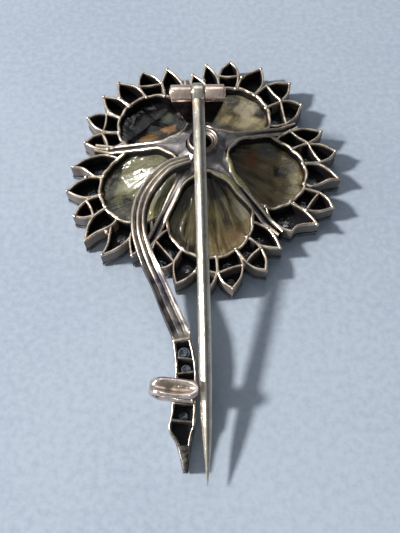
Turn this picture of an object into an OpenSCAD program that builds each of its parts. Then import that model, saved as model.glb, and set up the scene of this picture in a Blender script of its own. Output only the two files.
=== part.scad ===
// Flower brooch lying face down: five stone petals with a serrated open gallery, a curved stem,
// and a pin that turns on a riveted hinge and rests beside a round catch.
// The flower's centre is over the origin line while drawing; place() then centres the whole
// brooch. +Z points out of the back, +Y towards the hinge, -Y towards the point of the pin.

/* [Flower] */
// Distance from the flower's centre to the centre of each petal's round end
lobe_offset = 8; // [7.9:0.05:8.1]
// Radius of a petal's round end, to the middle of the wall round its stone
stone_wall_r = 5; // [4.9:0.05:5.1]
// Thickness of the gallery walls
wall = 0.4; // [0.34:0.02:0.44]
// Gap between neighbouring petals, filled by an arm of the star plate
petal_gap = 0.5; // [0.4:0.05:0.6]
// Height of the flower's back at its centre, if the petals ran on to it
dome_h = 7.6; // [7.4:0.1:7.8]
// Height of the back edge of the flower's rim
rim_h = 2.7; // [2.6:0.1:2.9]
// Distance from the centre at which a petal turns from sloping to level
bend_u = 9.5; // [9.3:0.1:9.7]
// Distance from the centre at which the petals' stone walls start
inner_u = 3.3; // [3.2:0.05:3.4]
// Radius of the star plate's webs between the petals
star_r = 6; // [5.6:0.1:6.4]

/* [Setting and stones] */
// Thickness of the silver front that holds the diamonds
front_t = 0.8; // [0.7:0.05:0.9]
// How far the citrines sit below the back edges of their walls
citrine_recess = 0.9; // [0.8:0.1:1.1]
// Gap left round every stone
stone_gap = 0.03; // [0.02:0.01:0.05]

/* [Centre] */
// Outside radius of the centre collet
collet_r = 1.85; // [1.75:0.05:1.9]
// Thickness of the collet's wall
collet_wall = 0.5; // [0.4:0.05:0.55]
// Height of the collet's back edge
collet_h = 7.4; // [7.3:0.1:7.6]
// How far the collet sits to the right of the flower's centre
collet_x = 0.3; // [0:0.05:0.35]

/* [Hinge] */
// Height of the hinge axis
hinge_h = 10.8; // [10.7:0.1:11]
// Distance of the hinge axis from the flower's centre
hinge_y = 3.85; // [3.8:0.05:4]
// Radius of the pin's knuckle, in the middle of the hinge
knuckle_r = 1.15; // [1.1:0.05:1.2]
// Radius of the bracket's two outer knuckles
barrel_r = 0.92; // [0.88:0.02:0.96]
// Radius of the hinge rivet
rivet_r = 0.45; // [0.4:0.05:0.5]
// Radial clearance between the rivet and the knuckle of the pin
running_gap = 0.04; // [0.03:0.01:0.06]

/* [Pin] */
// Radius of the pin wire
pin_r = 0.65; // [0.6:0.05:0.65]
// Length of the pin from the hinge axis to its point
pin_l = 42.4; // [41.5:0.1:42.5]
// Slope of the pin at rest, down from level
pin_slope = 12.58; // [12.4:0.02:12.7]
// Sideways lean of the pin, away from the catch
pin_lean = 0.56; // [0.5:0.02:0.7]

/* [Catch] */
// Outside radius of the catch's round closed end
catch_r = 1.26; // [1.24:0.02:1.3]
// Thickness of the catch strip
catch_t = 0.58; // [0.54:0.02:0.6]
// Width of the catch strip, along the stem
catch_w = 2; // [1.9:0.1:2.2]

/* [Hidden] */
$fn = 48;

// The drawing frame's shift that puts the middle of the whole brooch over the origin
place_x = 0.1;
place_y = 10.1;

// Kinds of tooth: a single leaf-shaped cell, an inner and an outer cell, a wide cell with two
// points, or a leaf with one hollow side, on its low or its high angle
LEAF = 0;
PAIR = 1;
FORK = 2;
HOLLOW_LOW = 3;
HOLLOW_HIGH = 4;

// Direction of each petal from the flower's centre
PETAL_TURN = 72;
BOTTOM = -83.2;
RIGHT = BOTTOM + PETAL_TURN;
UPPER_RIGHT = RIGHT + PETAL_TURN;
UPPER_LEFT = UPPER_RIGHT + PETAL_TURN;
LEFT = UPPER_LEFT + PETAL_TURN;

// Teeth of each petal, anticlockwise. Each row holds the tooth's direction on the stone wall
// and at its point, seen from the lobe's centre, the distance of its point from there, half
// the angle it spans, and its kind.
TEETH_BOTTOM = [
    [-64, -52, 9.2, 17, PAIR], [-33, -32, 9.3, 13, LEAF], [-9, -11, 9.4, 10, PAIR],
    [16, 8, 9.4, 14, PAIR], [42, 36, 9.3, 12, PAIR], [66, 57, 9.1, 12, LEAF]
];
TEETH_RIGHT = [
    [-63, -46, 9.4, 19, FORK], [-29, -21, 9.4, 14, PAIR], [9, 5, 9.2, 17, HOLLOW_LOW],
    [41, 30, 9.7, 14, PAIR], [69, 50, 9.9, 13, PAIR]
];
TEETH_UPPER_RIGHT = [
    [-59, -48, 9.7, 17, PAIR], [-27, -26, 10, 14, PAIR], [3, 1, 9.5, 14, LEAF],
    [31, 27, 9.8, 12, PAIR], [52, 47, 9.7, 9, LEAF], [71, 62, 8.9, 10, LEAF]
];
TEETH_UPPER_LEFT = [
    [-66, -49, 9.7, 14, LEAF], [-38, -29, 9.4, 14, PAIR], [-9, -6, 9.1, 14, LEAF],
    [19, 13, 8.9, 12, LEAF], [45, 38, 9.3, 13, PAIR], [70, 62, 9.6, 12, PAIR]
];
TEETH_LEFT = [
    [-62, -44, 9.3, 18, HOLLOW_HIGH], [-28, -22, 9.1, 14, LEAF], [-2, 2, 8.9, 11, PAIR],
    [21, 24, 9.8, 12, HOLLOW_HIGH], [46, 40, 10.2, 13, HOLLOW_LOW], [70, 60, 9.4, 11, LEAF]
];

// Stem: x, y and half width at stations from the hub to the pointed end
STEM_TOP = [
    [-1.25, -2.6, 0.6], [-3.6, -3.2, 0.75], [-5.3, -4.4, 0.85], [-6.45, -5.8, 0.9],
    [-7.1, -7.5, 0.92], [-7.25, -9.3, 0.92], [-7.05, -11, 0.92], [-6.5, -12.8, 0.93],
    [-5.8, -14.6, 0.9], [-4.9, -16.5, 0.9], [-3.95, -18.8, 0.95], [-3.25, -20.4, 0.98]
];
STEM_END = [
    [-3.2, -20.5, 0.98], [-2.5, -22.1, 1], [-2.2, -23.7, 1.02], [-1.95, -25.3, 1.1],
    [-1.88, -26.7, 1.16], [-2, -28.3, 1.2], [-2.1, -29.8, 1.26], [-2.25, -31.3, 1.32],
    [-2.35, -32, 1.36], [-2.2, -33, 0.9], [-2.1, -34.2, 0.58], [-2, -36.2, 0.26]
];
// Height of the stem's back, by y
STEM_BACK = [
    [-36.6, 1.8], [-33.2, 2.2], [-30.8, 2.6], [-28, 3], [-24, 3.55], [-20, 4.1], [-14.6, 4.5],
    [-9.3, 5], [-7.4, 5.25], [-5.7, 5.65], [-4.4, 6.3], [-3.2, 7.1], [-2, 7.9]
];
// Height of the stem's underside, by y
STEM_UNDER = [
    [-36.6, 0.5], [-33.2, 0], [-28, 0.8], [-20, 1.9], [-17.8, 2.3], [-16, 2.75], [-14.6, 2.8],
    [-10.9, 3.15], [-7.4, 3.6], [-5.7, 4.15], [-4.4, 4.85], [-3.2, 5.8], [-2, 6.75]
];
// Ends of the open cells along the stem, by y
STEM_CELLS = [[-24.8, -23.4], [-26.3, -25.3], [-27.6, -26.75], [-31.15, -30.05]];
// The long open gutter between the reeds and the first cell
STEM_GUTTER = [
    [-3.55, -20.3], [-2.9, -20.15], [-2.35, -21.4], [-1.85, -22.5], [-2.15, -22.95],
    [-2.75, -22.75], [-3.1, -21.7]
];
// The pointed cell at the end of the stem
STEM_KITE = [[-3.3, -31.9], [-3.15, -31.5], [-1.4, -31.5], [-1.35, -31.9], [-2.1, -33.6]];

// Outlines of the cells of a tooth: each corner a place along the tooth, from 0 on the stone wall
// to 1 at the tooth's point, and a place across it from -1 to 1
split_s = 0.47;
LEAF_CORNERS = [
    [0, -0.95], [0.2, -0.98], [0.45, -0.85], [0.72, -0.45], [0.97, 0], [0.72, 0.45],
    [0.45, 0.85], [0.2, 0.98], [0, 0.95]
];
LOW_CORNERS = [
    [0, -0.95], [0.2, -0.96], [0.4, -0.64], [0.68, -0.18], [0.97, 0], [0.72, 0.45],
    [0.45, 0.85], [0.2, 0.98], [0, 0.95]
];
HIGH_CORNERS = [for (i = [len(LOW_CORNERS) - 1 : -1 : 0]) [LOW_CORNERS[i][0], -LOW_CORNERS[i][1]]];
FORK_CORNERS = [
    [0, -0.95], [0.3, -1], [0.62, -0.85], [0.82, -0.62], [0.72, -0.15], [0.94, 0.36],
    [0.6, 0.72], [0.25, 0.98], [0, 0.95]
];
INNER_CORNERS = [
    [0, -0.95], [0.22, -0.98], [split_s, -0.88], [split_s, 0.88], [0.22, 0.98], [0, 0.95]
];
OUTER_CORNERS = [
    [split_s, -0.88], [0.74, -0.52], [0.97, 0], [0.74, 0.52], [split_s, 0.88]
];

// Petal: its outer limit, the depth of its walls, and the half gap between neighbouring stone
// walls
rim_end = lobe_offset + 10.4;
wall_depth = rim_h - front_t;
side_offset = (petal_gap + wall) / 2;
half_petal = PETAL_TURN / 2;
// Stone wall: half width of its blunt end at the hub, the corner after that, where its straight
// sides start, and the direction at which its round end meets them
hub_half = 0.5;
hub_corner = [0.35, 1.25];
side_start = 1.2;
stone_wall_end = 94;
// Shoulder that joins the last tooth to the notch between two petals: its directions and reach
// seen from the lobe's centre, and the notch's distance from the flower's centre
shoulder_start = 50;
shoulder_turn = 78;
shoulder_reach = 1;
notch_r = 13.8;
// Most that an inset corner is shortened against its true mitre
mitre_limit = 0.55;

// Star plate: width, length, recess and thickness of its arms
arm_w = petal_gap - 2 * stone_gap;
arm_end = 13;
arm_recess = 0.25;
arm_t = 1.2;
// Collet's length, and how far its diamond lies below it
collet_len = 3.2;
stone_drop = 0.3;

// Cut diamond: height and share of the table, heights of the girdle, and depth as a share of
// the radius
table_h = 0.1;
table_share = 0.55;
girdle_h = [0.36, 0.44];
pavilion_share = 0.7;
// How much smaller a stem diamond is than its cell
stem_stone_gap = 0.06;

// Stem: height and half width of the three reeds, where they run, and how far they stop short of
// the stem's edge
ridge_h = 0.4;
ridge_share = 0.26;
RIDGES = [-0.66, 0, 0.66];
reed_share = 0.98;

// Pin: its neck, and its taper as pairs of a share of the length and a share of the radius
pin_neck_r = 0.76;
pin_neck_end = 2.3;
PIN_TAPER = [[0.72, 1], [0.79, 0.96], [0.86, 0.83], [0.92, 0.58]];
pin_point_r = 0.03;
pin_point_l = 0.05;

// Hinge: width of the pin's knuckle and the gaps beside it, the places of the knuckles along the
// axis, and the web that carries them
knuckle_w = 1.42;
knuckle_gap = 0.05;
hinge_x = -0.22;
pin_left = hinge_x - knuckle_w / 2;
pin_right = hinge_x + knuckle_w / 2;
barrel_left = -3.33;
barrel_right = 2.72;
rivet_overhang = 0.12;
bracket_t = 1.2;
bracket_foot = [-1.2, 1.15];
bracket_foot_h = 5.5;
bracket_clear = 0.12;
bracket_lift = 0.04;

// Catch: ends of its strip, its place along the stem, its foot, and how far it is turned in plan
// and about which place
catch_left = -5.6;
catch_tip = -0.64;
catch_bar_end = -1.05;
catch_y = -28.75;
catch_base_h = 3.15;
foot_x = [-3.15, -0.95];
foot_bend_y = -28;
catch_tilt = -7;
catch_turn_x = -2.05;

// Working sizes: a hair's breadth that closes thin gaps, spare length on cutting shapes, and a
// height above everything
sliver = 0.02;
spare = 1;
tall = 40;

// Colours
gold = "#c8a070";
silver = "#8d8a86";
citrine = "#9a7a35c0";
diamond = "#d8dde0";

function unit(v) = v / norm(v);
function on_lobe(rho, a) = [lobe_offset + rho * cos(a), rho * sin(a)];

// A closed outline moved inwards by d; points run anticlockwise
function inset(points, d) = [
    for (i = [0 : len(points) - 1])
        let (
            last = points[(i + len(points) - 1) % len(points)],
            next = points[(i + 1) % len(points)],
            before = unit(points[i] - last),
            along = unit(unit(next - points[i]) + before),
            inward = [-along[1], along[0]]
        )
        points[i] + inward * d / max(mitre_limit, inward * [-before[1], before[0]])
];

// A point of a tooth, s along it and side across it
function on_tooth(t, s, side) = on_lobe(
    stone_wall_r + (t[2] - stone_wall_r) * s,
    t[0] + (t[1] - t[0]) * s + side * t[3]
);

// The open cells of a tooth
function cell_outline(t, corners) = [for (c = corners) on_tooth(t, c[0], c[1])];
function cells(t) =
    t[4] == LEAF ? [cell_outline(t, LEAF_CORNERS)] :
    t[4] == HOLLOW_LOW ? [cell_outline(t, LOW_CORNERS)] :
    t[4] == HOLLOW_HIGH ? [cell_outline(t, HIGH_CORNERS)] :
    t[4] == FORK ? [cell_outline(t, FORK_CORNERS)] :
    [cell_outline(t, INNER_CORNERS), cell_outline(t, OUTER_CORNERS)];

// The stones of a tooth: each a place s along it and a radius
function tooth_stones(t) =
    t[4] == PAIR ? [[0.23, 0.055 * t[3]], [0.64, 0.034 * t[3] + 0.1]] :
    t[4] == FORK ? [[0.34, 0.05 * t[3]]] : [[0.3, 0.052 * t[3]]];

// The middle line of the wall round a petal's stone
function side_point(u, side) = [u, side * (u * tan(half_petal) - side_offset / cos(half_petal))];
stone_wall = concat(
    [[inner_u, -hub_half], [inner_u + hub_corner[0], -hub_corner[1]]],
    [side_point(inner_u + side_start, -1)],
    [for (a = [-stone_wall_end : stone_wall_end / 10 : stone_wall_end]) on_lobe(stone_wall_r, a)],
    [side_point(inner_u + side_start, 1)],
    [[inner_u + hub_corner[0], hub_corner[1]], [inner_u, hub_half]]
);

// The wedge of the plane that belongs to one petal
module wedge(gap) {
    shift = gap / 2 / sin(half_petal);
    polygon([
        [shift, 0],
        [rim_end * 1.2, -(rim_end * 1.2 - shift) * tan(half_petal)],
        [rim_end * 1.2, (rim_end * 1.2 - shift) * tan(half_petal)]
    ]);
}

// Everything inside a petal's outer edge, from the back
module petal_outline(teeth) {
    intersection() {
        wedge(petal_gap);
        union() {
            polygon(inset(stone_wall, -wall / 2));
            for (t = teeth)
                for (c = cells(t))
                    polygon(inset(c, -wall / 2));
            for (side = [-1, 1])
                polygon([
                    on_lobe(stone_wall_r - wall, side * shoulder_start),
                    on_lobe(stone_wall_r - wall, side * stone_wall_end),
                    [side_point(bend_u, side)[0], side_point(bend_u, side)[1] + side * wall / 2],
                    [notch_r * cos(half_petal), side * (notch_r * sin(half_petal) - petal_gap / 2)],
                    on_lobe(stone_wall_r + shoulder_reach, side * shoulder_turn)
                ]);
        }
    }
}

// The openings of all the cells of a petal's teeth
module petal_cells(teeth) {
    for (t = teeth)
        for (c = cells(t))
            polygon(inset(c, wall / 2));
}

// The layer of a petal between two depths below its back, seen from the side
module layer(top, bottom) {
    rotate([90, 0, 0])
        linear_extrude(height = tall, center = true)
            polygon([
                [0, dome_h - top],
                [bend_u, rim_h - top],
                [rim_end, rim_h - top],
                [rim_end, rim_h - bottom],
                [bend_u, rim_h - bottom],
                [0, dome_h - bottom]
            ]);
}

module gallery(direction, teeth) {
    color(gold)
        rotate([0, 0, direction])
            intersection() {
                linear_extrude(height = tall)
                    offset(delta = sliver)
                        offset(delta = -sliver)
                            difference() {
                                petal_outline(teeth);
                                polygon(inset(stone_wall, wall / 2));
                                petal_cells(teeth);
                            }
                layer(0, wall_depth);
            }
}

// The round seats of the diamonds
module seats(teeth, gap) {
    for (t = teeth)
        for (s = tooth_stones(t))
            translate(on_tooth(t, s[0], 0))
                circle(r = s[1] + gap);
}

module setting(direction, teeth) {
    color(silver)
        rotate([0, 0, direction])
            difference() {
                intersection() {
                    linear_extrude(height = tall)
                        offset(delta = sliver)
                            offset(delta = -sliver)
                                difference() {
                                    petal_outline(teeth);
                                    polygon(inset(stone_wall, wall / 2));
                                }
                    layer(wall_depth, rim_h);
                }
                linear_extrude(height = rim_h)
                    seats(teeth, stone_gap);
            }
}

module citrine(direction) {
    color(citrine)
        rotate([0, 0, direction])
            intersection() {
                linear_extrude(height = tall)
                    polygon(inset(stone_wall, wall / 2 + stone_gap));
                layer(citrine_recess, rim_h);
            }
}

// A cut diamond standing on its table
module brilliant(r) {
    rotate_extrude()
        polygon([
            [0, table_h],
            [table_share * r, table_h],
            [r, girdle_h[0]],
            [r, girdle_h[1]],
            [0, girdle_h[1] + pavilion_share * r]
        ]);
}

module diamonds(direction, teeth) {
    color(diamond)
        rotate([0, 0, direction])
            for (t = teeth)
                for (s = tooth_stones(t))
                    translate(on_tooth(t, s[0], 0))
                        brilliant(s[1]);
}

// The back of the star: a low five-sided roof that turns level where the petals do. It is drawn
// as everything lying under the roof.
module under_star_roof(drop) {
    peak = dome_h - arm_recess - drop;
    flat = rim_h - arm_recess - drop;
    bend = bend_u / cos(half_petal);
    intersection_for (i = [0 : 4])
        rotate([0, 0, BOTTOM + half_petal + i * PETAL_TURN])
            rotate([90, 0, 0])
                linear_extrude(height = tall, center = true)
                    polygon([
                        [-bend, 2 * peak - flat],
                        [bend, flat],
                        [tall / 2, flat],
                        [tall / 2, -tall / 2],
                        [-bend, -tall / 2]
                    ]);
}

// Plan of the star: a five-sided web with a thin arm in each gap between the petals' stones
module star_plan() {
    offset(delta = sliver)
        offset(delta = -sliver)
            difference() {
                union() {
                    polygon([
                        for (i = [0 : 4])
                            star_r / cos(half_petal) * [
                                cos(BOTTOM + i * PETAL_TURN),
                                sin(BOTTOM + i * PETAL_TURN)
                            ]
                    ]);
                    for (i = [0 : 4])
                        rotate([0, 0, BOTTOM + half_petal + i * PETAL_TURN])
                            translate([0, -arm_w / 2])
                                square([arm_end, arm_w]);
                }
                for (i = [0 : 4])
                    rotate([0, 0, BOTTOM + i * PETAL_TURN])
                        polygon(inset(stone_wall, -wall / 2 - stone_gap));
                translate([collet_x, 0])
                    circle(r = collet_r + stone_gap);
            }
}

module star_plate() {
    color(silver)
        difference() {
            intersection() {
                linear_extrude(height = tall)
                    star_plan();
                under_star_roof(0);
            }
            under_star_roof(arm_t);
        }
}

module centre_collet() {
    color(gold)
        difference() {
            translate([collet_x, 0, collet_h - collet_len])
                cylinder(h = collet_len, r = collet_r);
            translate([collet_x, 0, collet_h - collet_len - sliver])
                cylinder(h = collet_len + 2 * sliver, r = collet_r - collet_wall);
        }
}

module centre_diamond() {
    color(diamond)
        translate([collet_x, 0, collet_h - collet_len - stone_drop])
            brilliant(collet_r - collet_wall - stone_gap);
}

// The left and right edges of the stem between its stations
function stem_side(stations, side, share) = [
    for (i = [0 : len(stations) - 1])
        let (
            a = stations[max(i - 1, 0)],
            b = stations[min(i + 1, len(stations) - 1)],
            along = unit([b[0] - a[0], b[1] - a[1]])
        )
        [
            stations[i][0] - along[1] * side * stations[i][2] * share,
            stations[i][1] + along[0] * side * stations[i][2] * share
        ]
];

function reversed(list) = [for (i = [len(list) - 1 : -1 : 0]) list[i]];

// Outline of the stem's length between two shares of its half width
function strip(stations, from, to) =
    concat(stem_side(stations, from, 1), reversed(stem_side(stations, to, 1)));

// The layer of the stem between two depths, seen from the side
module stem_layer(top_drop, bottom_rise) {
    rotate([90, 0, 90])
        linear_extrude(height = tall, center = true)
            polygon(concat(
                [for (p = STEM_BACK) [p[0], p[1] - top_drop]],
                [for (p = reversed(STEM_UNDER)) [p[0], p[1] + bottom_rise]]
            ));
}

module stem_reeds() {
    color(gold)
        union() {
            intersection() {
                linear_extrude(height = tall)
                    polygon(strip(STEM_TOP, -reed_share, reed_share));
                stem_layer(ridge_h, 0);
            }
            for (middle = RIDGES)
                intersection() {
                    linear_extrude(height = tall)
                        polygon(strip(STEM_TOP, middle - ridge_share, middle + ridge_share));
                    stem_layer(0, 0);
                }
        }
}

// The stem's half width and middle at a given y
function stem_x(y) = lookup(y, [for (p = reversed(STEM_END)) [p[1], p[0]]]);
function stem_half(y) = lookup(y, [for (p = reversed(STEM_END)) [p[1], p[2]]]);
// A point of the stem's edge, moved inwards by edge
function stem_corner(y, side, edge) = [stem_x(y) + side * (stem_half(y) - edge), y];

module stem_gallery() {
    color(gold)
        intersection() {
            linear_extrude(height = tall)
                difference() {
                    polygon(strip(STEM_END, -1, 1));
                    for (c = STEM_CELLS)
                        polygon([
                            stem_corner(c[0], -1, wall), stem_corner(c[0], 1, wall),
                            stem_corner(c[1], 1, wall), stem_corner(c[1], -1, wall)
                        ]);
                    polygon(STEM_KITE);
                    polygon(STEM_GUTTER);
                }
            stem_layer(0, front_t);
        }
}

module stem_front() {
    color(silver)
        difference() {
            intersection() {
                linear_extrude(height = tall)
                    polygon(strip(STEM_END, -1, 1));
                stem_layer_front();
            }
            for (c = STEM_CELLS)
                stem_stone_place(c)
                    cylinder(h = 2 * front_t + spare, r = stem_stone_r(c) + stone_gap, center = true);
        }
}

// The silver layer along the stem's underside
module stem_layer_front() {
    rotate([90, 0, 90])
        linear_extrude(height = tall, center = true)
            polygon(concat(
                [for (p = STEM_UNDER) [p[0], p[1] + front_t]],
                [for (p = reversed(STEM_UNDER)) [p[0], p[1]]]
            ));
}

// Radius of the diamond in a stem cell
function stem_stone_r(c) =
    min((c[1] - c[0]) / 2, stem_half((c[0] + c[1]) / 2) - wall) - stem_stone_gap;

module stem_stone_place(c) {
    y = (c[0] + c[1]) / 2;
    translate([stem_x(y), y, lookup(y, STEM_UNDER)])
        children();
}

module stem_diamonds() {
    color(diamond)
        for (c = STEM_CELLS)
            stem_stone_place(c)
                brilliant(stem_stone_r(c));
}

// Carries a flat shape along the hinge axis between two places
module along_hinge(from, to) {
    translate([from, hinge_y, hinge_h])
        rotate([0, 90, 0])
            linear_extrude(height = to - from)
                children();
}

// Two outer knuckles on an upright web that stands on the petals' walls
module hinge_bracket() {
    back_slope = (dome_h - rim_h) / bend_u * cos(half_petal);
    front_y = hinge_y - bracket_t / 2;
    rear_y = hinge_y + bracket_t / 2;
    color(gold)
        difference() {
            union() {
                along_hinge(barrel_left, pin_left - knuckle_gap)
                    circle(r = barrel_r);
                along_hinge(pin_right + knuckle_gap, barrel_right)
                    circle(r = barrel_r);
                intersection() {
                    translate([0, rear_y, 0])
                        rotate([90, 0, 0])
                            linear_extrude(height = bracket_t)
                                polygon([
                                    [bracket_foot[0], bracket_foot_h],
                                    [bracket_foot[1], bracket_foot_h],
                                    [barrel_right, hinge_h - barrel_r],
                                    [barrel_right, hinge_h],
                                    [barrel_left, hinge_h],
                                    [barrel_left, hinge_h - barrel_r]
                                ]);
                    translate([-tall / 2, 0, 0])
                        rotate([90, 0, 90])
                            linear_extrude(height = tall)
                                polygon([
                                    [front_y, dome_h + bracket_lift - front_y * back_slope],
                                    [rear_y, dome_h + bracket_lift - rear_y * back_slope],
                                    [rear_y, hinge_h],
                                    [front_y, hinge_h]
                                ]);
                }
            }
            along_hinge(barrel_left - spare, barrel_right + spare)
                circle(r = rivet_r + stone_gap);
            along_hinge(pin_left - knuckle_gap, pin_right + knuckle_gap)
                circle(r = knuckle_r + bracket_clear);
            translate([pin_left - knuckle_gap, 0, hinge_h])
                cube([knuckle_w + 2 * knuckle_gap, 2 * hinge_y, 2 * knuckle_r]);
        }
}

module hinge_rivet() {
    color(gold)
        along_hinge(barrel_left - rivet_overhang, barrel_right + rivet_overhang)
            circle(r = rivet_r);
}

module pin_knuckle() {
    color(gold)
        along_hinge(pin_left, pin_right)
            difference() {
                circle(r = knuckle_r);
                circle(r = rivet_r + running_gap);
            }
}

module pin_wire() {
    color(gold)
        difference() {
            translate([hinge_x, hinge_y, hinge_h])
                rotate([90 + pin_slope, 0, pin_lean])
                    rotate_extrude()
                        polygon(concat(
                            [[0, 0], [pin_neck_r, 0], [pin_r, pin_neck_end]],
                            [for (p = PIN_TAPER) [p[1] * pin_r, p[0] * pin_l]],
                            [[pin_point_r, pin_l - pin_point_l], [0, pin_l]]
                        ));
            along_hinge(pin_left - spare, pin_right + spare)
                circle(r = knuckle_r + sliver);
        }
}

module catch_foot() {
    front_y = catch_y - catch_w / 2;
    rear_y = catch_y + catch_w / 2;
    color(gold)
        translate([foot_x[0], 0, 0])
            rotate([90, 0, 90])
                linear_extrude(height = foot_x[1] - foot_x[0])
                    polygon([
                        [front_y, lookup(front_y, STEM_BACK)],
                        [foot_bend_y, lookup(foot_bend_y, STEM_BACK)],
                        [rear_y, lookup(rear_y, STEM_BACK)],
                        [rear_y, catch_base_h],
                        [front_y, catch_base_h]
                    ]);
}

module catch_hook() {
    color(gold)
        translate([catch_turn_x, catch_y, 0])
            rotate([0, 0, catch_tilt])
                translate([-catch_turn_x, -catch_y, 0])
                    catch_strip();
}

// The bent strip before it is turned on its foot
module catch_strip() {
    middle_h = catch_base_h + catch_r;
    bend_x = catch_left + catch_r;
    round_x = catch_tip - catch_w / 2;
    intersection() {
        translate([0, catch_y + catch_w / 2, 0])
            rotate([90, 0, 0])
                linear_extrude(height = catch_w)
                    union() {
                        difference() {
                            translate([bend_x, middle_h])
                                circle(r = catch_r);
                            translate([bend_x, middle_h])
                                circle(r = catch_r - catch_t);
                            translate([bend_x, 0])
                                square([catch_r * 2, 2 * middle_h]);
                        }
                        translate([bend_x, catch_base_h])
                            square([catch_bar_end - bend_x, catch_t]);
                        translate([bend_x, middle_h + catch_r - catch_t])
                            square([catch_tip - bend_x, catch_t]);
                    }
        linear_extrude(height = tall)
            union() {
                translate([round_x, catch_y])
                    circle(r = catch_w / 2);
                translate([catch_left - spare, catch_y - catch_w / 2])
                    square([round_x - catch_left + spare, catch_w]);
            }
    }
}

module place() {
    translate([place_x, place_y, 0])
        children();
}

place() gallery(BOTTOM, TEETH_BOTTOM);  // gallery_bottom
place() gallery(RIGHT, TEETH_RIGHT);  // gallery_right
place() gallery(UPPER_RIGHT, TEETH_UPPER_RIGHT);  // gallery_upper_right
place() gallery(UPPER_LEFT, TEETH_UPPER_LEFT);  // gallery_upper_left
place() gallery(LEFT, TEETH_LEFT);  // gallery_left
place() setting(BOTTOM, TEETH_BOTTOM);  // setting_bottom
place() setting(RIGHT, TEETH_RIGHT);  // setting_right
place() setting(UPPER_RIGHT, TEETH_UPPER_RIGHT);  // setting_upper_right
place() setting(UPPER_LEFT, TEETH_UPPER_LEFT);  // setting_upper_left
place() setting(LEFT, TEETH_LEFT);  // setting_left
place() citrine(BOTTOM);  // citrine_bottom
place() citrine(RIGHT);  // citrine_right
place() citrine(UPPER_RIGHT);  // citrine_upper_right
place() citrine(UPPER_LEFT);  // citrine_upper_left
place() citrine(LEFT);  // citrine_left
place() diamonds(BOTTOM, TEETH_BOTTOM);  // diamonds_bottom
place() diamonds(RIGHT, TEETH_RIGHT);  // diamonds_right
place() diamonds(UPPER_RIGHT, TEETH_UPPER_RIGHT);  // diamonds_upper_right
place() diamonds(UPPER_LEFT, TEETH_UPPER_LEFT);  // diamonds_upper_left
place() diamonds(LEFT, TEETH_LEFT);  // diamonds_left
place() star_plate();
place() centre_collet();
place() centre_diamond();
place() stem_reeds();
place() stem_gallery();
place() stem_front();
place() stem_diamonds();
place() hinge_bracket();
place() hinge_rivet();
place() pin_knuckle();
place() pin_wire();
place() catch_foot();
place() catch_hook();
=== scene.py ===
"""Looks of the flower brooch: worn gold galleries, carved citrines, dark silver and a drawn wire pin.

All shapes are worked out in millimetres with the flower's centre over the origin, then moved by
PLACE and scaled to metres, which puts them where the CAD nodes are.
"""

import math

import bmesh
import bpy
import numpy as np
from mathutils import Matrix, Vector


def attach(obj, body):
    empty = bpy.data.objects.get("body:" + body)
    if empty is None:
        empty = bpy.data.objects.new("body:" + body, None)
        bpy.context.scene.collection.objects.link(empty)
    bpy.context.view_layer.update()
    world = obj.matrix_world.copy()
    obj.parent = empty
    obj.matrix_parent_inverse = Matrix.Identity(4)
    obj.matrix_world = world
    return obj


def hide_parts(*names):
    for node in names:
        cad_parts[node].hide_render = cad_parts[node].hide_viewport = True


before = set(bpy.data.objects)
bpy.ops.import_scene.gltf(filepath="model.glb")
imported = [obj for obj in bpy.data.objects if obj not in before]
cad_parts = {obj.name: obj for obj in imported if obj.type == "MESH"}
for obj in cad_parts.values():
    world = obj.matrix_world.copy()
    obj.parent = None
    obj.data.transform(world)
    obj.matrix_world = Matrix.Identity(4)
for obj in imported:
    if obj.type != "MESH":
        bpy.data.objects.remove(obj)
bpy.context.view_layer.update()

MM = 0.001
PLACE = np.array([0.1, 10.1, 0.0])
FULL_TURN = 2 * math.pi

# ---- Sizes shared with the CAD part, in millimetres and degrees ----

PETALS = ["bottom", "right", "upper_right", "upper_left", "left"]
DIRECTION = {name: -83.2 + 72 * k for k, name in enumerate(PETALS)}
HALF = math.radians(36)
LOBE = 8.0
STONE_R = 5.0
WALL = 0.4
SIDE_OFFSET = 0.45
DOME_H = 7.6
RIM_H = 2.7
BEND_U = 9.5
WALL_DEPTH = 1.9
INNER_U = 3.3
NOTCH_R = 13.8
SPLIT = 0.47
LEAF, PAIR, FORK = "leaf", "pair", "fork"
HOLLOW_LOW, HOLLOW_HIGH = "hollow low", "hollow high"

# Each tooth: direction on the stone wall and at its point, distance of its point from the
# lobe's centre, half the angle it spans, and its kind
TEETH = {
    "bottom": [
        (-64, -52, 9.2, 17, PAIR), (-33, -32, 9.3, 13, LEAF), (-9, -11, 9.4, 10, PAIR),
        (16, 8, 9.4, 14, PAIR), (42, 36, 9.3, 12, PAIR), (66, 57, 9.1, 12, LEAF),
    ],
    "right": [
        (-63, -46, 9.4, 19, FORK), (-29, -21, 9.4, 14, PAIR), (9, 5, 9.2, 17, HOLLOW_LOW),
        (41, 30, 9.7, 14, PAIR), (69, 50, 9.9, 13, PAIR),
    ],
    "upper_right": [
        (-59, -48, 9.7, 17, PAIR), (-27, -26, 10, 14, PAIR), (3, 1, 9.5, 14, LEAF),
        (31, 27, 9.8, 12, PAIR), (52, 47, 9.7, 9, LEAF), (71, 62, 8.9, 10, LEAF),
    ],
    "upper_left": [
        (-66, -49, 9.7, 14, LEAF), (-38, -29, 9.4, 14, PAIR), (-9, -6, 9.1, 14, LEAF),
        (19, 13, 8.9, 12, LEAF), (45, 38, 9.3, 13, PAIR), (70, 62, 9.6, 12, PAIR),
    ],
    "left": [
        (-62, -44, 9.3, 18, HOLLOW_HIGH), (-28, -22, 9.1, 14, LEAF), (-2, 2, 8.9, 11, PAIR),
        (21, 24, 9.8, 12, HOLLOW_HIGH), (46, 40, 10.2, 13, HOLLOW_LOW), (70, 60, 9.4, 11, LEAF),
    ],
}

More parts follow.
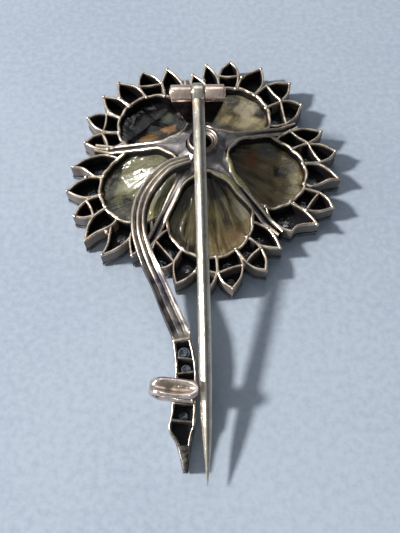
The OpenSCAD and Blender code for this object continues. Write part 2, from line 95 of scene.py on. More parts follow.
# Stem stations: x, y and half width
STEM_TOP = np.array([
    (-1.25, -2.6, 0.6), (-3.6, -3.2, 0.75), (-5.3, -4.4, 0.85), (-6.45, -5.8, 0.9),
    (-7.1, -7.5, 0.92), (-7.25, -9.3, 0.92), (-7.05, -11, 0.92), (-6.5, -12.8, 0.93),
    (-5.8, -14.6, 0.9), (-4.9, -16.5, 0.9), (-3.95, -18.8, 0.95), (-3.25, -20.4, 0.98),
])
STEM_END = np.array([
    (-3.2, -20.5, 0.98), (-2.5, -22.1, 1), (-2.2, -23.7, 1.02), (-1.95, -25.3, 1.1),
    (-1.88, -26.7, 1.16), (-2, -28.3, 1.2), (-2.1, -29.8, 1.26), (-2.25, -31.3, 1.32),
    (-2.35, -32, 1.36), (-2.2, -33, 0.9), (-2.1, -34.2, 0.58), (-2, -36.2, 0.26),
])
STEM_BACK = np.array([
    (-36.6, 1.8), (-33.2, 2.2), (-30.8, 2.6), (-28, 3), (-24, 3.55), (-20, 4.1), (-14.6, 4.5),
    (-9.3, 5), (-7.4, 5.25), (-5.7, 5.65), (-4.4, 6.3), (-3.2, 7.1), (-2, 7.9),
])
STEM_UNDER = np.array([
    (-36.6, 0.5), (-33.2, 0), (-28, 0.8), (-20, 1.9), (-17.8, 2.3), (-16, 2.75), (-14.6, 2.8),
    (-10.9, 3.15), (-7.4, 3.6), (-5.7, 4.15), (-4.4, 4.85), (-3.2, 5.8), (-2, 6.75),
])
STEM_CELLS = [(-24.8, -23.4), (-26.3, -25.3), (-27.6, -26.75), (-31.15, -30.05)]
STEM_BARS = [-23.2, -25.05, -26.52, -31.32]

COLLET_R = 1.85
COLLET_H = 7.4
COLLET_X = 0.3
HINGE = np.array([-0.22, 3.85, 10.8])
KNUCKLE_R = 1.15
KNUCKLE_HALF = 0.71
BARREL_R = 0.92
BARREL_LEFT = -3.33
BARREL_RIGHT = 2.72
RIVET_R = 0.45
PIN_R = 0.65
PIN_L = 42.4
PIN_SLOPE = math.radians(12.58)
PIN_LEAN = math.radians(0.56)
CATCH_R = 1.26
CATCH_T = 0.58
CATCH_W = 2.0
CATCH_LEFT = -5.6
CATCH_REACH = -0.56
CATCH_Y = -28.75
CATCH_BASE = 3.15
CATCH_BAR_END = -1.05
CATCH_TILT = math.radians(-7)
CATCH_TURN_X = -2.05

# ---- Surfaces ----

def petal_back(u):
    """Height of a petal's back: it slopes down to BEND_U from the centre, then runs level."""
    return np.where(u < BEND_U, DOME_H - (DOME_H - RIM_H) / BEND_U * u, RIM_H)


def on_lobe(rho, degrees):
    """A point at a radius and direction from the centre of a petal's round end."""
    a = math.radians(degrees)
    return (LOBE + rho * math.cos(a), rho * math.sin(a))


def on_tooth(tooth, s, side):
    """A point of a tooth, s from the stone wall to the tip and side from -1 to 1 across."""
    base, tip, reach, half, _ = tooth
    return on_lobe(STONE_R + (reach - STONE_R) * s, base + (tip - base) * s + side * half)


def turned(points, degrees):
    """Points turned about the flower's centre."""
    a = math.radians(degrees)
    turn = np.array([[math.cos(a), -math.sin(a), 0], [math.sin(a), math.cos(a), 0], [0, 0, 1]])
    return points @ turn.T


def flowing(points, corners=(), closed=False, steps=6):
    """A smooth line through points by Catmull-Rom, which stays sharp at the corner indices."""
    p = np.asarray(points, float)
    count = len(p)
    spans = count if closed else count - 1
    out = []
    t = np.linspace(0, 1, steps, endpoint=False)[:, None]
    for i in range(spans):
        a = p[i]
        b = p[(i + 1) % count]
        before = p[(i - 1) % count] if closed or i > 0 else 2 * a - b
        after = p[(i + 2) % count] if closed or i < count - 2 else 2 * b - a
        span = np.linalg.norm(b - a)
        m0 = (b - before) / (np.linalg.norm(a - before) + span) * span
        m1 = (after - a) / (np.linalg.norm(after - b) + span) * span
        if i in corners:
            m0 = b - a
        if (i + 1) % count in corners:
            m1 = b - a
        h = 2 * t**3 - 3 * t**2 + 1
        out.append(h * a + (t**3 - 2 * t**2 + t) * m0 + (1 - h) * b + (t**3 - t**2) * m1)
    line = np.concatenate(out)
    return line if closed else np.concatenate([line, p[-1:]])


def travelled(line):
    """Distance along a line at each of its points."""
    steps = np.linalg.norm(np.diff(line, axis=0), axis=1)
    return np.concatenate([[0], np.cumsum(steps)])


def circle(count):
    """Directions evenly round a circle."""
    return np.linspace(0, FULL_TURN, count, endpoint=False)


def stacked(*parts):
    """Arrays spread over one grid and put together as its last axis."""
    return np.stack(np.broadcast_arrays(*parts), axis=-1)


def eased(share):
    """A share of 0 to 1 that starts and ends gently."""
    share = np.clip(share, 0, 1)
    return share * share * (3 - 2 * share)


def sideways(line, closed=False):
    """Unit vectors to the left of a plan line, lengthened at its corners as a mitre is."""
    if closed:
        before = line - np.roll(line, 1, axis=0)
        after = np.roll(line, -1, axis=0) - line
    else:
        before = np.diff(line, axis=0, prepend=2 * line[:1] - line[1:2])
        after = np.diff(line, axis=0, append=2 * line[-1:] - line[-2:-1])
    before = before / np.linalg.norm(before, axis=1)[:, None]
    after = after / np.linalg.norm(after, axis=1)[:, None]
    along = before + after
    along = along / np.maximum(np.linalg.norm(along, axis=1)[:, None], 1e-6)
    left = np.stack([-along[:, 1], along[:, 0]], axis=1)
    lean = np.abs(left[:, 0] * -before[:, 1] + left[:, 1] * before[:, 0])
    return left / np.maximum(lean, 0.62)[:, None]


def quads(rows, cols, closed_rows=False, closed_cols=False):
    """Faces of a grid whose points are stored row after row."""
    i = np.arange(rows if closed_rows else rows - 1)[:, None]
    j = np.arange(cols if closed_cols else cols - 1)[None, :]
    i1 = (i + 1) % rows
    j1 = (j + 1) % cols
    return np.stack([i * cols + j, i * cols + j1, i1 * cols + j1, i1 * cols + j], axis=-1).reshape(-1, 4)


def volume(points, faces):
    """Signed volume inside faces: positive when they point outwards."""
    a, b, c, d = (points[faces[:, k]] for k in range(4))
    return (np.einsum("ij,ij->i", a, np.cross(b, c)) + np.einsum("ij,ij->i", a, np.cross(c, d))).sum() / 6


class Shape:
    """Points, four-cornered faces and a UV pair per point, gathered from closed shells."""

    def __init__(self):
        self.points = []
        self.faces = []
        self.uv = []
        self.count = 0

    def shell(self, points, faces, uv=None):
        """Adds a shell, turned so that its faces point outwards."""
        points = np.asarray(points, float).reshape(-1, 3)
        if volume(points - points.mean(axis=0), faces) < 0:
            faces = faces[:, ::-1]
        self.points.append(points)
        self.faces.append(faces + self.count)
        self.uv.append(np.zeros((len(points), 2)) if uv is None else uv.reshape(-1, 2))
        self.count += len(points)

    def carried(self, sections, uv, closed_path=False):
        """Adds closed sections carried along a path, capped at both ends unless it is closed.

        sections is rows x columns x 3. Each cap is a last row drawn in to its middle point.
        """
        rows, cols, _ = sections.shape
        if not closed_path:
            first = np.repeat(sections[:1].mean(axis=1, keepdims=True), cols, axis=1)
            last = np.repeat(sections[-1:].mean(axis=1, keepdims=True), cols, axis=1)
            sections = np.concatenate([first, sections, last])
            uv = np.concatenate([uv[:1], uv, uv[-1:]])
            rows += 2
        self.shell(sections, quads(rows, cols, closed_path, True), uv)

    def towards(self, name):
        """Turns the whole shape from the first direction to that of a petal."""
        self.points = [turned(p, DIRECTION[name]) for p in self.points]
        return self


def put(name, data):
    """An object for a mesh, lamp or camera, linked to the scene."""
    obj = bpy.data.objects.new(name, data)
    bpy.context.scene.collection.objects.link(obj)
    return obj


def lay_uv(mesh, uv):
    """Gives a mesh its UV map, from a pair of numbers for each point."""
    corner = np.empty(len(mesh.loops), dtype=np.int32)
    mesh.loops.foreach_get("vertex_index", corner)
    layer = mesh.uv_layers.new(name="lay")
    layer.data.foreach_set("uv", uv[corner].ravel())


MERGE_REACH = 2e-7
PLATE_MERGE_REACH = 5e-7


def close_gaps(mesh, reach):
    """Closes poles and seams: merges points that lie together and drops empty faces."""
    work = bmesh.new()
    work.from_mesh(mesh)
    bmesh.ops.remove_doubles(work, verts=work.verts, dist=reach)
    bmesh.ops.dissolve_degenerate(work, edges=work.edges, dist=reach)
    work.to_mesh(mesh)
    work.free()


def shade(mesh, material, sharp):
    """Gives a mesh its one material and smooth shading across edges below an angle."""
    mesh.materials.clear()
    mesh.materials.append(material)
    mesh.polygons.foreach_set("use_smooth", np.ones(len(mesh.polygons), dtype=bool))
    mesh.set_sharp_from_angle(angle=math.radians(sharp))


def make_piece(name, shape, material, node=(), smooth=40, body="brooch"):
    """Makes a mesh object from a shape in flower millimetres and puts it on its body."""
    points = (np.concatenate(shape.points) + PLACE) * MM
    mesh = bpy.data.meshes.new(name)
    mesh.from_pydata(points, [], np.concatenate(shape.faces).tolist())
    lay_uv(mesh, np.concatenate(shape.uv))
    close_gaps(mesh, MERGE_REACH)
    mesh.validate()
    shade(mesh, material, smooth)
    obj = put(name, mesh)
    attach(obj, body)
    if node:
        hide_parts(*node)
    return obj


def waver(s, seed, pitch=2.0):
    """A slow random waver of about -1 to 1 along a distance, from three sine waves."""
    rng = np.random.default_rng(seed)
    phase = rng.uniform(0, FULL_TURN, 3)
    return sum(np.sin(FULL_TURN * s / (pitch * k) + phase[i]) for i, k in enumerate((1, 0.63, 1.7))) / 2.2


CROWN = 0.13
WALL_PITCH = 3.0
THICK_WAVER = 0.14
HEIGHT_WAVER = 0.024


def wall(shape, line, top, seed, half, depth=WALL_DEPTH, closed=False, both_inside=False):
    """Adds a thin upright wall carried along a plan line.

    Its section is a slot with a rounded back edge and straight sides, and its thickness and
    height waver. U tells the left side from the right, and is 0 where both are inner sides.
    V is the depth below the back edge in millimetres.
    """
    left = sideways(line, closed)
    s = travelled(line)
    if closed:
        lap = s[-1] + np.linalg.norm(line[0] - line[-1])
        way = FULL_TURN * s / (lap / max(1, round(lap / WALL_PITCH)))
        thick = half * (1 + 0.13 * np.sin(way + seed))
        rise = HEIGHT_WAVER * np.sin(2 * way + 2 * seed)
    else:
        thick = half * (1 + THICK_WAVER * waver(s, seed, 2.6))
        rise = HEIGHT_WAVER * waver(s, seed + 50, 3.1)
    turn = np.linspace(0, math.pi, 7)
    w = np.concatenate([[-0.92, -1, -1], -np.cos(turn), [1, 1, 0.92]])
    d = np.concatenate([[depth, 0.75 * depth, 0.4], CROWN * (1 - np.sin(turn)), [0.4, 0.75 * depth, depth]])
    z = (top + rise)[:, None] - d
    u = np.zeros(len(w)) if both_inside else w
    shape.carried(swept(line, left, w, thick, z), stacked(u, d, z)[..., :2], closed)


def swept(line, left, w, wide, z):
    """Sections across a plan line: w half widths to its left, at the heights in z."""
    xy = line[:, None, :2] + left[:, None, :] * (w[:, None] * wide[:, None, None])
    return np.concatenate([xy, z[:, :, None]], axis=2)


def grain(shape, centre, radius, flat=1.0, spokes=8):
    """A small round bead: circles of latitude on a ball, flattened in height."""
    lat = np.linspace(-math.pi / 2, math.pi / 2, 5)[:, None]
    lon = circle(spokes)[None, :]
    ball = stacked(
        centre[0] + radius * np.cos(lat) * np.cos(lon),
        centre[1] + radius * np.cos(lat) * np.sin(lon),
        centre[2] + radius * flat * np.sin(lat),
    )
    shape.shell(ball, quads(len(lat), spokes, False, True))


def side_point(u, side):
    """A point on the straight side of a petal's stone wall."""
    return (u, side * (u * math.tan(HALF) - SIDE_OFFSET / math.cos(HALF)))


def stone_line():
    """The middle of the wall round a petal's stone, as a smooth closed loop."""
    turns = np.linspace(-92, 92, 38)
    arc = [on_lobe(STONE_R + 0.13 * abs(math.sin(math.radians(a * 6.5 + 20))), a) for a in turns]
    sides = [side_point(u, -1) for u in (4.4, 5.8)]
    back = [side_point(u, 1) for u in (5.8, 4.4)]
    points = [(INNER_U, -0.5), (INNER_U + 0.35, -1.25)] + sides + arc + back
    points += [(INNER_U + 0.35, 1.25), (INNER_U, 0.5)]
    return flowing(points, closed=True, steps=4)


STONE_LINE = stone_line()


def tooth_lines(tooth):
    """The walls of a tooth as plan lines with their sharp corners."""
    kind = tooth[4]

    def at(*pairs):
        return [on_tooth(tooth, s, side) for s, side in pairs]

    if kind in (HOLLOW_LOW, HOLLOW_HIGH):
        hollow = 1 if kind == HOLLOW_LOW else -1
        corners = [(0, -0.95), (0.2, -0.96), (0.4, -0.64), (0.68, -0.18), (0.97, 0), (0.72, 0.45),
                   (0.45, 0.85), (0.2, 0.98), (0, 0.95)]
        outline = at(*[(s, hollow * side) for s, side in corners[::hollow]])
        return [flowing(outline, corners=(4,))]
    if kind == LEAF:
        outline = at((0, -0.95), (0.2, -0.98), (0.45, -0.85), (0.72, -0.45), (0.97, 0))
        outline += at((0.72, 0.45), (0.45, 0.85), (0.2, 0.98), (0, 0.95))
        return [flowing(outline, corners=(4,))]
    if kind == FORK:
        outline = at((0, -0.95), (0.3, -1), (0.62, -0.85), (0.82, -0.62), (0.72, -0.15))
        outline += at((0.94, 0.36), (0.6, 0.7), (0.25, 0.91), (0, 0.9))
        return [flowing(outline, corners=(3, 5))]
    sides = at((0, -0.95), (0.22, -0.98), (SPLIT, -0.88), (0.74, -0.52), (0.97, 0))
    sides += at((0.74, 0.52), (SPLIT, 0.88), (0.22, 0.98), (0, 0.95))
    bar = at((SPLIT, -0.88), (SPLIT - 0.06, 0), (SPLIT, 0.88))
    return [flowing(sides, corners=(2, 4, 6)), flowing(bar)]


def tooth_stones(tooth):
    """The stones of a tooth: place along it and radius."""
    if tooth[4] == PAIR:
        return [(0.23, 0.055 * tooth[3]), (0.64, 0.034 * tooth[3] + 0.1)]
    if tooth[4] == FORK:
        return [(0.34, 0.05 * tooth[3])]
    return [(0.3, 0.052 * tooth[3])]


# The two walls beside the lower right arm of the star are broader near the hub
BROAD_SIDE = {"bottom": 1, "right": -1}
BROAD_U = 5.0
STONE_WALL_HALF = 0.19
TOOTH_WALL_HALF = (0.14, 0.18)
TOOTH_LIFT = 0.05
SHOULDER_HALF = 0.18
SHOULDER_U = (7.2, 8.6, 9.9)
NOTCH_INSET = 0.42
GRAIN_SPOTS = ((0.0, -1.0), (0.0, 0.98), (SPLIT, 0.88))


def gallery_shape(name, number):
    """All the thin walls of one petal: stone wall, tooth cells, shoulders and solder grains."""
    shape = Shape()
    seed = 100 * number + 7
    rng = np.random.default_rng(seed)
    broad = BROAD_SIDE.get(name, 0) * STONE_LINE[:, 1] > 0.9
    bulge = np.exp(-((STONE_LINE[:, 0] - BROAD_U) / 1.6) ** 2) * broad
    half = STONE_WALL_HALF * (1 + bulge)
    wall(shape, STONE_LINE, petal_back(STONE_LINE[:, 0]), seed, half, closed=True, both_inside=True)
    for k, tooth in enumerate(TEETH[name]):
        lift = rng.uniform(-TOOTH_LIFT, TOOTH_LIFT)
        half = rng.uniform(*TOOTH_WALL_HALF)
        for j, line in enumerate(tooth_lines(tooth)):
            wall(shape, line, petal_back(line[:, 0]) + lift * (1 - j), seed + 5 * k + j, half)
        for s, side in GRAIN_SPOTS:
            if rng.uniform() < 0.6:
                x, y = on_tooth(tooth, s, side)
                grain(shape, (x, y, petal_back(x) - 0.1), rng.uniform(0.24, 0.34), 0.8)
        if rng.uniform() < 0.75:
            x, y = on_tooth(tooth, 0.97, 0 if tooth[4] != FORK else 0.3)
            grain(shape, (x, y, petal_back(x) - 0.12), rng.uniform(0.22, 0.28), 0.9)
    for side in (-1, 1):
        notch = (NOTCH_R * math.cos(HALF), side * (NOTCH_R * math.sin(HALF) - NOTCH_INSET))
        line = flowing([side_point(u, side) for u in SHOULDER_U] + [notch], steps=5)
        wall(shape, line, petal_back(line[:, 0]), seed + 70 + side, SHOULDER_HALF, both_inside=True)
    return shape.towards(name)


CITRINE_X = 7.6
CITRINE_GAP = 0.04


def stone_radii(angles, shrink):
    """Distance from the citrine's middle to its outline, in each direction."""
    left = sideways(STONE_LINE, closed=True)
    outline = STONE_LINE + left * shrink - np.array([CITRINE_X, 0])
    way = np.unwrap(np.arctan2(outline[:, 1], outline[:, 0])) % FULL_TURN
    order = np.argsort(way)
    return np.interp(angles, way[order], np.linalg.norm(outline, axis=1)[order], period=FULL_TURN)


def citrine_shape(name, number):
    """A carved citrine: both faces are functions of direction and share of the way out.

    The back is a low crown with flutes that fan out from the flower's centre. The front is a
    hollow-cut petal with the same flutes, deeper towards its rim.
    """
    rng = np.random.default_rng(40 + number)
    angles = circle(96)[:, None]
    share = np.concatenate([[0.0], np.linspace(0.06, 1, 26)])[None, :]
    reach = stone_radii(angles[:, 0], WALL / 2 + CITRINE_GAP)[:, None]
    x = CITRINE_X + reach * share * np.cos(angles)
    y = reach * share * np.sin(angles)
    fan = np.arctan2(y, x)
    away = np.hypot(x, y)
    flute = np.abs(np.sin(9.5 * fan + 0.35 * np.sin(away * 0.9 + number)))
    wave = np.sin(3.1 * fan + 0.8 * away + rng.uniform(0, 6))
    fade = np.clip((away - 3.2) / 4, 0, 1) * np.clip((1 - share) * 5, 0, 1)
    back = petal_back(x) - 0.95 - 0.28 * share**4 - fade * (0.3 * flute + 0.14 * wave)
    rim = 0.35 + 0.25 * np.clip((petal_back(x) - RIM_H) / 2, 0, 1)
    front = np.maximum(0.03, rim * share**2 + 0.1 + 0.6 * flute * fade + 0.1 * wave)
    front = np.minimum(front, back - 0.5)
    grid = np.concatenate([stacked(x, y, back), stacked(x, y, front)[:, ::-1]], axis=1)
    shape = Shape()
    shape.shell(grid, quads(len(angles), grid.shape[1], True, False))
    return shape.towards(name)


def cut_stone(shape, centre, radius):
    """A brilliant of flat facets: a table, two rows of crown facets, a girdle and a pavilion."""
    ring = np.array([0.0, 0.53, 0.8, 1.0, 1.0, 0.62, 0.0])[:, None]
    high = np.array([0.0, 0.0, 0.14, 0.27, 0.33, 0.62, 1.0])
    high = np.where(high <= 0.33, high / 0.33 * 0.34, 0.34 + (high - 0.33) / 0.67 * 0.7 * radius)
    sides = 8
    shift = np.array([0, 0, 0.5, 0, 0, 0.5, 0])[:, None]
    way = (np.arange(sides)[None, :] + shift) * FULL_TURN / sides
    points = stacked(
        centre[0] + radius * ring * np.cos(way),
        centre[1] + radius * ring * np.sin(way),
        centre[2] + high[:, None],
    )
    shape.shell(points, quads(len(ring), sides, False, True))


SEAT_Z = 0.1
CLAW_R = 0.17
CLAW_Z = 0.2
CLAW_GAP = 0.02


def seats(name):
    """Place, radius and turn of every diamond in a petal's teeth."""
    for tooth in TEETH[name]:
        for s, radius in tooth_stones(tooth):
            yield on_tooth(tooth, s, 0), radius, tooth[0]


def diamonds_shape(name):
    """All the diamonds of one petal's teeth, tables towards the front."""
    shape = Shape()
    for spot, radius, _ in seats(name):
        cut_stone(shape, (*spot, SEAT_Z), radius)
    return shape.towards(name)


def claws_shape(name):
    """Four raised grains round every diamond, that hold it from the front."""
    shape = Shape()
    for (x, y), radius, turn in seats(name):
        reach = radius + CLAW_GAP
        for k in range(4):
            a = math.radians(45 + 90 * k + turn)
            claw = (x + reach * math.cos(a), y + reach * math.sin(a), CLAW_Z)
            grain(shape, claw, CLAW_R, 1.05, spokes=7)
    return shape.towards(name)


STAR_INNER = 1.8
STAR_OUTER = 12.9
STAR_SAG = 0.42
STAR_DEPTH = 1.4


def star_shape():
    """The star plate: a dished web round the collet that runs out between the petals.

    Each arm is a grid of distance from the centre and direction, whose edges follow the petals'
    stone walls. Its section sags in the middle, so that the edges catch the light.
    """
    left = sideways(STONE_LINE, closed=True)
    edge = STONE_LINE - left * (WALL / 2 - 0.02)
    away = np.hypot(edge[:, 0], edge[:, 1])
    way = np.arctan2(edge[:, 1], edge[:, 0])
    keep = (way > 0) & (edge[:, 0] < 10.2)
    order = np.argsort(away[keep])
    away = away[keep][order]
    way = np.maximum.accumulate(way[keep][order])
    r = np.concatenate([np.linspace(STAR_INNER, 3.3, 9), np.linspace(3.5, STAR_OUTER, 36)])
    spread = HALF - np.where(r < away[0], 0.0, np.interp(r, away, way))
    spread = np.maximum(spread, 0.2 / r)
    v = np.linspace(-1, 1, 15)
    theta = spread[:, None] * v[None, :]
    u = r[:, None] * np.cos(HALF - np.abs(theta))
    dip = np.minimum(STAR_SAG, 0.3 * spread * r)[:, None] * (1 - np.abs(v[None, :]) ** 2.2)
    ridge = 0.16 * np.exp(-((r[:, None] - 1.9) / 0.5) ** 2)
    back = petal_back(u) - 0.1 - dip + ridge
    uv = stacked(np.concatenate([v, v[::-1]]), r[:, None])
    shape = Shape()
    for k in range(5):
        turn = math.radians(DIRECTION["bottom"]) + HALF + k * 2 * HALF
        x = r[:, None] * np.cos(turn + theta)
        y = r[:, None] * np.sin(turn + theta)
        under = stacked(x, y, petal_back(u) - STAR_DEPTH)
        shape.carried(np.concatenate([stacked(x, y, back), under[:, ::-1]], axis=1), uv)
    return shape


def revolved(shape, profile, centre):
    """A closed profile of radius and height turned about an upright axis."""
    radius, height = profile.T
    a = circle(64)[:, None]
    ring = stacked(
        centre[0] + radius * np.cos(a),
        centre[1] + radius * np.sin(a),
        centre[2] + height,
    )
    shape.shell(ring, quads(len(a), len(radius), True, True), stacked(a / FULL_TURN, travelled(profile)))


def lathed_along_x(shape, start, end, radius, bore, rounding=0.14, spokes=48):
    """A hinge knuckle: a tube along X with rounded rims, or a plain bar when bore is 0."""
    a = np.linspace(0, math.pi / 2, 5)
    corner = rounding * (1 - np.cos(a))
    lead = rounding * (1 - np.sin(a))
    x = np.concatenate([start + lead[::-1], end - lead, [end, start]])
    r = np.concatenate([radius - corner[::-1], radius - corner, [bore, bore]])
    spin = circle(spokes)[:, None]
    ring = stacked(x, HINGE[1] + r * np.cos(spin), HINGE[2] + r * np.sin(spin))
    shape.shell(ring, quads(spokes, len(x), True, True), stacked(spin / FULL_TURN, x))


def stem_level(table, y):
    """Height of the stem's back or underside at y."""
    return np.interp(y, table[:, 0], table[:, 1])


REEDS_STOP = -23.2


def reeds_shape():
    """The reeded part of the stem, which runs out in a trough before the first open cell.

    The back has three rounded ridges. Towards the point the middle ridge sinks and only the two
    edges are left, and the last stretch of the trough rises to a rounded end.
    """
    line = flowing(np.concatenate([STEM_TOP, STEM_END[1:2], [(-2.27, REEDS_STOP, 1.02)]]), steps=8)
    left = sideways(line[:, :2])
    s = travelled(line[:, :2])
    v = np.linspace(-1, 1, 41)
    ridge = np.abs(np.cos(1.5 * math.pi * v * 0.98)) ** 0.5
    trough = np.clip(np.abs(v) / 0.95, 0, 1) ** 8
    run_out = eased((-line[:, 1] - 8.5) / 9)[:, None]
    form = ridge[None, :] * (1 - run_out) + (0.85 * trough + 0.15 * ridge)[None, :] * run_out
    end = np.clip(line[:, 1] - REEDS_STOP - 0.2, 0, 1)[:, None]
    form = 1 - (1 - form) * np.sin(end * math.pi / 2)
    outer = 0.24 * np.clip((np.abs(v) - 0.84) / 0.16, 0, 1) ** 2
    top = stem_level(STEM_BACK, line[:, 1]) + 0.02
    under = stem_level(STEM_UNDER, line[:, 1])
    groove = 0.34 + 0.2 * run_out[:, 0] + 0.04 * waver(s, 3, 4.0)
    high = top[:, None] - groove[:, None] * (1 - form) - outer[None, :]
    w = np.concatenate([v, [1.0, 0.86, 0, -0.86, -1.0]])
    low = np.stack([under + 0.28, under, under, under, under + 0.28], axis=1)
    z = np.concatenate([high, low], axis=1)
    depth = np.concatenate([(1 - form) * 0.36 + outer, np.full(low.shape, 1.4)], axis=1)
    shape = Shape()
    shape.carried(swept(line, left, w, line[:, 2] * 0.99, z), stacked(depth, s[:, None]))
    return shape


CELL_DEPTH = 1.6


def stem_gallery_shape():
    """The open end of the stem: two side walls, cross bars, a block under the catch, a tip."""
    line = flowing(STEM_END, steps=5)
    y = line[:, 1]
    left = sideways(line[:, :2])
    shape = Shape()
    keep = (y > -35.0) & (y < -22.9)
    for side in (-1, 1):
        edge = line[:, :2] + left * (side * (line[:, 2] - 0.17))[:, None]
        wall(shape, edge[keep], stem_level(STEM_BACK, y[keep]), 11 + side, 0.165, CELL_DEPTH)
    for k, at in enumerate(STEM_BARS):
        half = np.interp(-at, -y, line[:, 2]) - 0.15
        x = np.interp(-at, -y, line[:, 0])
        tilt = 0.12 * (-1) ** k
        bar = flowing([(x - half, at - tilt), (x, at), (x + half, at + tilt)], steps=5)
        wall(shape, bar, stem_level(STEM_BACK, bar[:, 1]) - 0.06, 31 + k, 0.16, CELL_DEPTH)
    # The tip's block gets extra depth, which paints it darker
    for low, high, dark in ((-30.05, -27.6, 0.0), (-36.3, -33.5, 0.3)):
        block(shape, line[(y > low) & (y < high)], dark)
    return shape


def block(shape, line, dark):
    """A solid stretch of the stem with rounded shoulders. Its UV depth feeds the cells' painted shade, so
    its sides darken as in a cell that deep, and dark adds to that depth so the whole stretch paints darker.
    """
    left = sideways(line[:, :2])
    w = np.array([-1, -0.96, -0.8, 0, 0.8, 0.96, 1, 1, 0, -1]) * 0.97
    d = np.array([0.2, 0.07, 0, -0.02, 0, 0.07, 0.2, 1.55, CELL_DEPTH, 1.55])
    top = stem_level(STEM_BACK, line[:, 1])
    thick = np.minimum(1.0, (top - stem_level(STEM_UNDER, line[:, 1])) / CELL_DEPTH)
    z = top[:, None] - d * thick[:, None]
    shape.carried(swept(line, left, w, line[:, 2], z), stacked(w, d + dark, z)[..., :2])


def stem_diamonds_shape():
    """The diamonds set along the stem."""
    shape = Shape()
    for low, high in STEM_CELLS:
        y = (low + high) / 2
        half = np.interp(-y, -STEM_END[:, 1], STEM_END[:, 2])
        x = np.interp(-y, -STEM_END[:, 1], STEM_END[:, 0])
        radius = min((high - low) / 2, half - WALL) - 0.06
        cut_stone(shape, (x, y, stem_level(STEM_UNDER, y) + SEAT_Z), radius)
    return shape


def pin_frame():
    """Directions along the resting pin, to its side and out of its back."""
    along = np.array([
        math.cos(PIN_SLOPE) * math.sin(PIN_LEAN),
        -math.cos(PIN_SLOPE) * math.cos(PIN_LEAN),
        -math.sin(PIN_SLOPE),
    ])
    side = np.cross(along, [0, 0, 1.0])
    side /= np.linalg.norm(side)
    return along, side, np.cross(side, along)


# Share of the pin's length and the pin's radius there
PIN_TAPER = np.array([
    (0, 0.71), (0.024, 0.71), (0.06, PIN_R), (0.72, PIN_R), (0.79, 0.96 * PIN_R),
    (0.86, 0.83 * PIN_R), (0.92, 0.58 * PIN_R), (1, 0.03),
])
PIN_SQUARE = 2.8
PIN_BOW = -0.07


def pin_shape():
    """The pin wire: a soft square with a ridge along its back, drawn down to a sharp point."""
    along, side, out = pin_frame()
    t = np.concatenate([
        [1.0, 1.3, 1.7, 2.1],
        np.linspace(2.6, 0.69 * PIN_L, 40),
        np.linspace(0.7 * PIN_L, 0.97 * PIN_L, 24),
        PIN_L - np.array([1.0, 0.7, 0.4, 0.2, 0.06]),
    ])
    radius = np.interp(t / PIN_L, PIN_TAPER[:, 0], PIN_TAPER[:, 1]) * (1 + 0.012 * waver(t, 5, 5.0))
    a = circle(40)
    lean = a - math.pi / 4
    flats = np.abs(np.cos(lean)) ** PIN_SQUARE + np.abs(np.sin(lean)) ** PIN_SQUARE
    size = radius[:, None] * 0.97 * flats ** (-1 / PIN_SQUARE)
    bow = PIN_BOW * np.sin(math.pi * np.clip((t - 2) / (PIN_L - 2), 0, 1))
    middle = HINGE + t[:, None] * along + bow[:, None] * side
    spokes = np.cos(a)[:, None] * side + np.sin(a)[:, None] * out
    shape = Shape()
    shape.carried(middle[:, None, :] + size[:, :, None] * spokes, stacked(a, t[:, None]))
    return shape


def catch_path():
    """The catch seen along the stem: base bar, round closed end, top bar, as x and z."""
    low = CATCH_BASE + CATCH_T / 2
    high = CATCH_BASE + 2 * CATCH_R - CATCH_T / 2
    turn = np.radians(np.linspace(-90, -270, 25))
    bend = CATCH_R - CATCH_T / 2
    middle = CATCH_LEFT + CATCH_R
    arc = np.stack([middle + bend * np.cos(turn), CATCH_BASE + CATCH_R + bend * np.sin(turn)], axis=1)
    bar = np.stack([np.linspace(CATCH_BAR_END, middle, 14)[:-1], np.full(13, low)], axis=1)
    tongue = CATCH_REACH - middle
    steps = middle + tongue * np.sin(np.linspace(0, math.pi / 2, 26))[1:]
    steps[-1] = CATCH_REACH - 0.004
    back = np.stack([steps, np.full(25, high)], axis=1)
    return np.concatenate([bar, arc, back])

DISH_DEPTH = 0.34
DISH_LENGTH = 2.05
DISH_WIDTH = 0.68


def catch_shape():
    """The catch: a pillow-edged strip bent back over itself, its top dished inside a raised rim."""
    path = catch_path()
    along = np.gradient(path, axis=0)
    along /= np.linalg.norm(along, axis=1)[:, None]
    out = np.stack([-along[:, 1], along[:, 0]], axis=1)
    x = path[:, 0]
    on_top = path[:, 1] > CATCH_BASE + CATCH_R
    widest = CATCH_W / 2
    reach = np.clip((x - (CATCH_REACH - widest)) / widest, 0, 1)
    half = np.where(on_top, widest * np.sqrt(np.clip(1 - reach**2, 0.0004, 1)), widest)
    closed_end = np.clip((CATCH_LEFT + 1.5 - x) / 1.5, 0, 1)
    half = (half * (1 - 0.36 * closed_end**2))[:, None]
    v = np.linspace(-1, 1, 25)
    crown = np.sqrt(np.clip(1 - np.abs(v) ** 5, 0, 1))
    middle = (CATCH_REACH + CATCH_LEFT) / 2 + 0.12
    oval = ((x - middle) / DISH_LENGTH)[:, None] ** 2 + (half * v / DISH_WIDTH) ** 2
    facing = np.where(on_top, np.clip(out[:, 1], 0, 1), 0)[:, None]
    inside = np.clip(1 - oval, 0, 1) ** 0.7 * facing
    dish = DISH_DEPTH * inside * (1 + 0.14 * np.sin(3.9 * x + 1.2)[:, None])
    skin = CATCH_T / 2 * crown * np.minimum(1, half / 0.25)
    thick = np.concatenate([skin - dish, -skin[:, ::-1]], axis=1)
    ring = stacked(
        x[:, None] + thick * out[:, :1],
        CATCH_Y + half * np.concatenate([v, v[::-1]]),
        path[:, 1:] + thick * out[:, 1:],
    )
    axis = np.array([CATCH_TURN_X, CATCH_Y, 0])
    ring = turned(ring - axis, math.degrees(CATCH_TILT)) + axis
    hollow = np.concatenate([inside, 0 * inside], axis=1)
    shape = Shape()
    shape.carried(ring, stacked(hollow, travelled(path)[:, None]))
    return shape


# ---- Materials ----

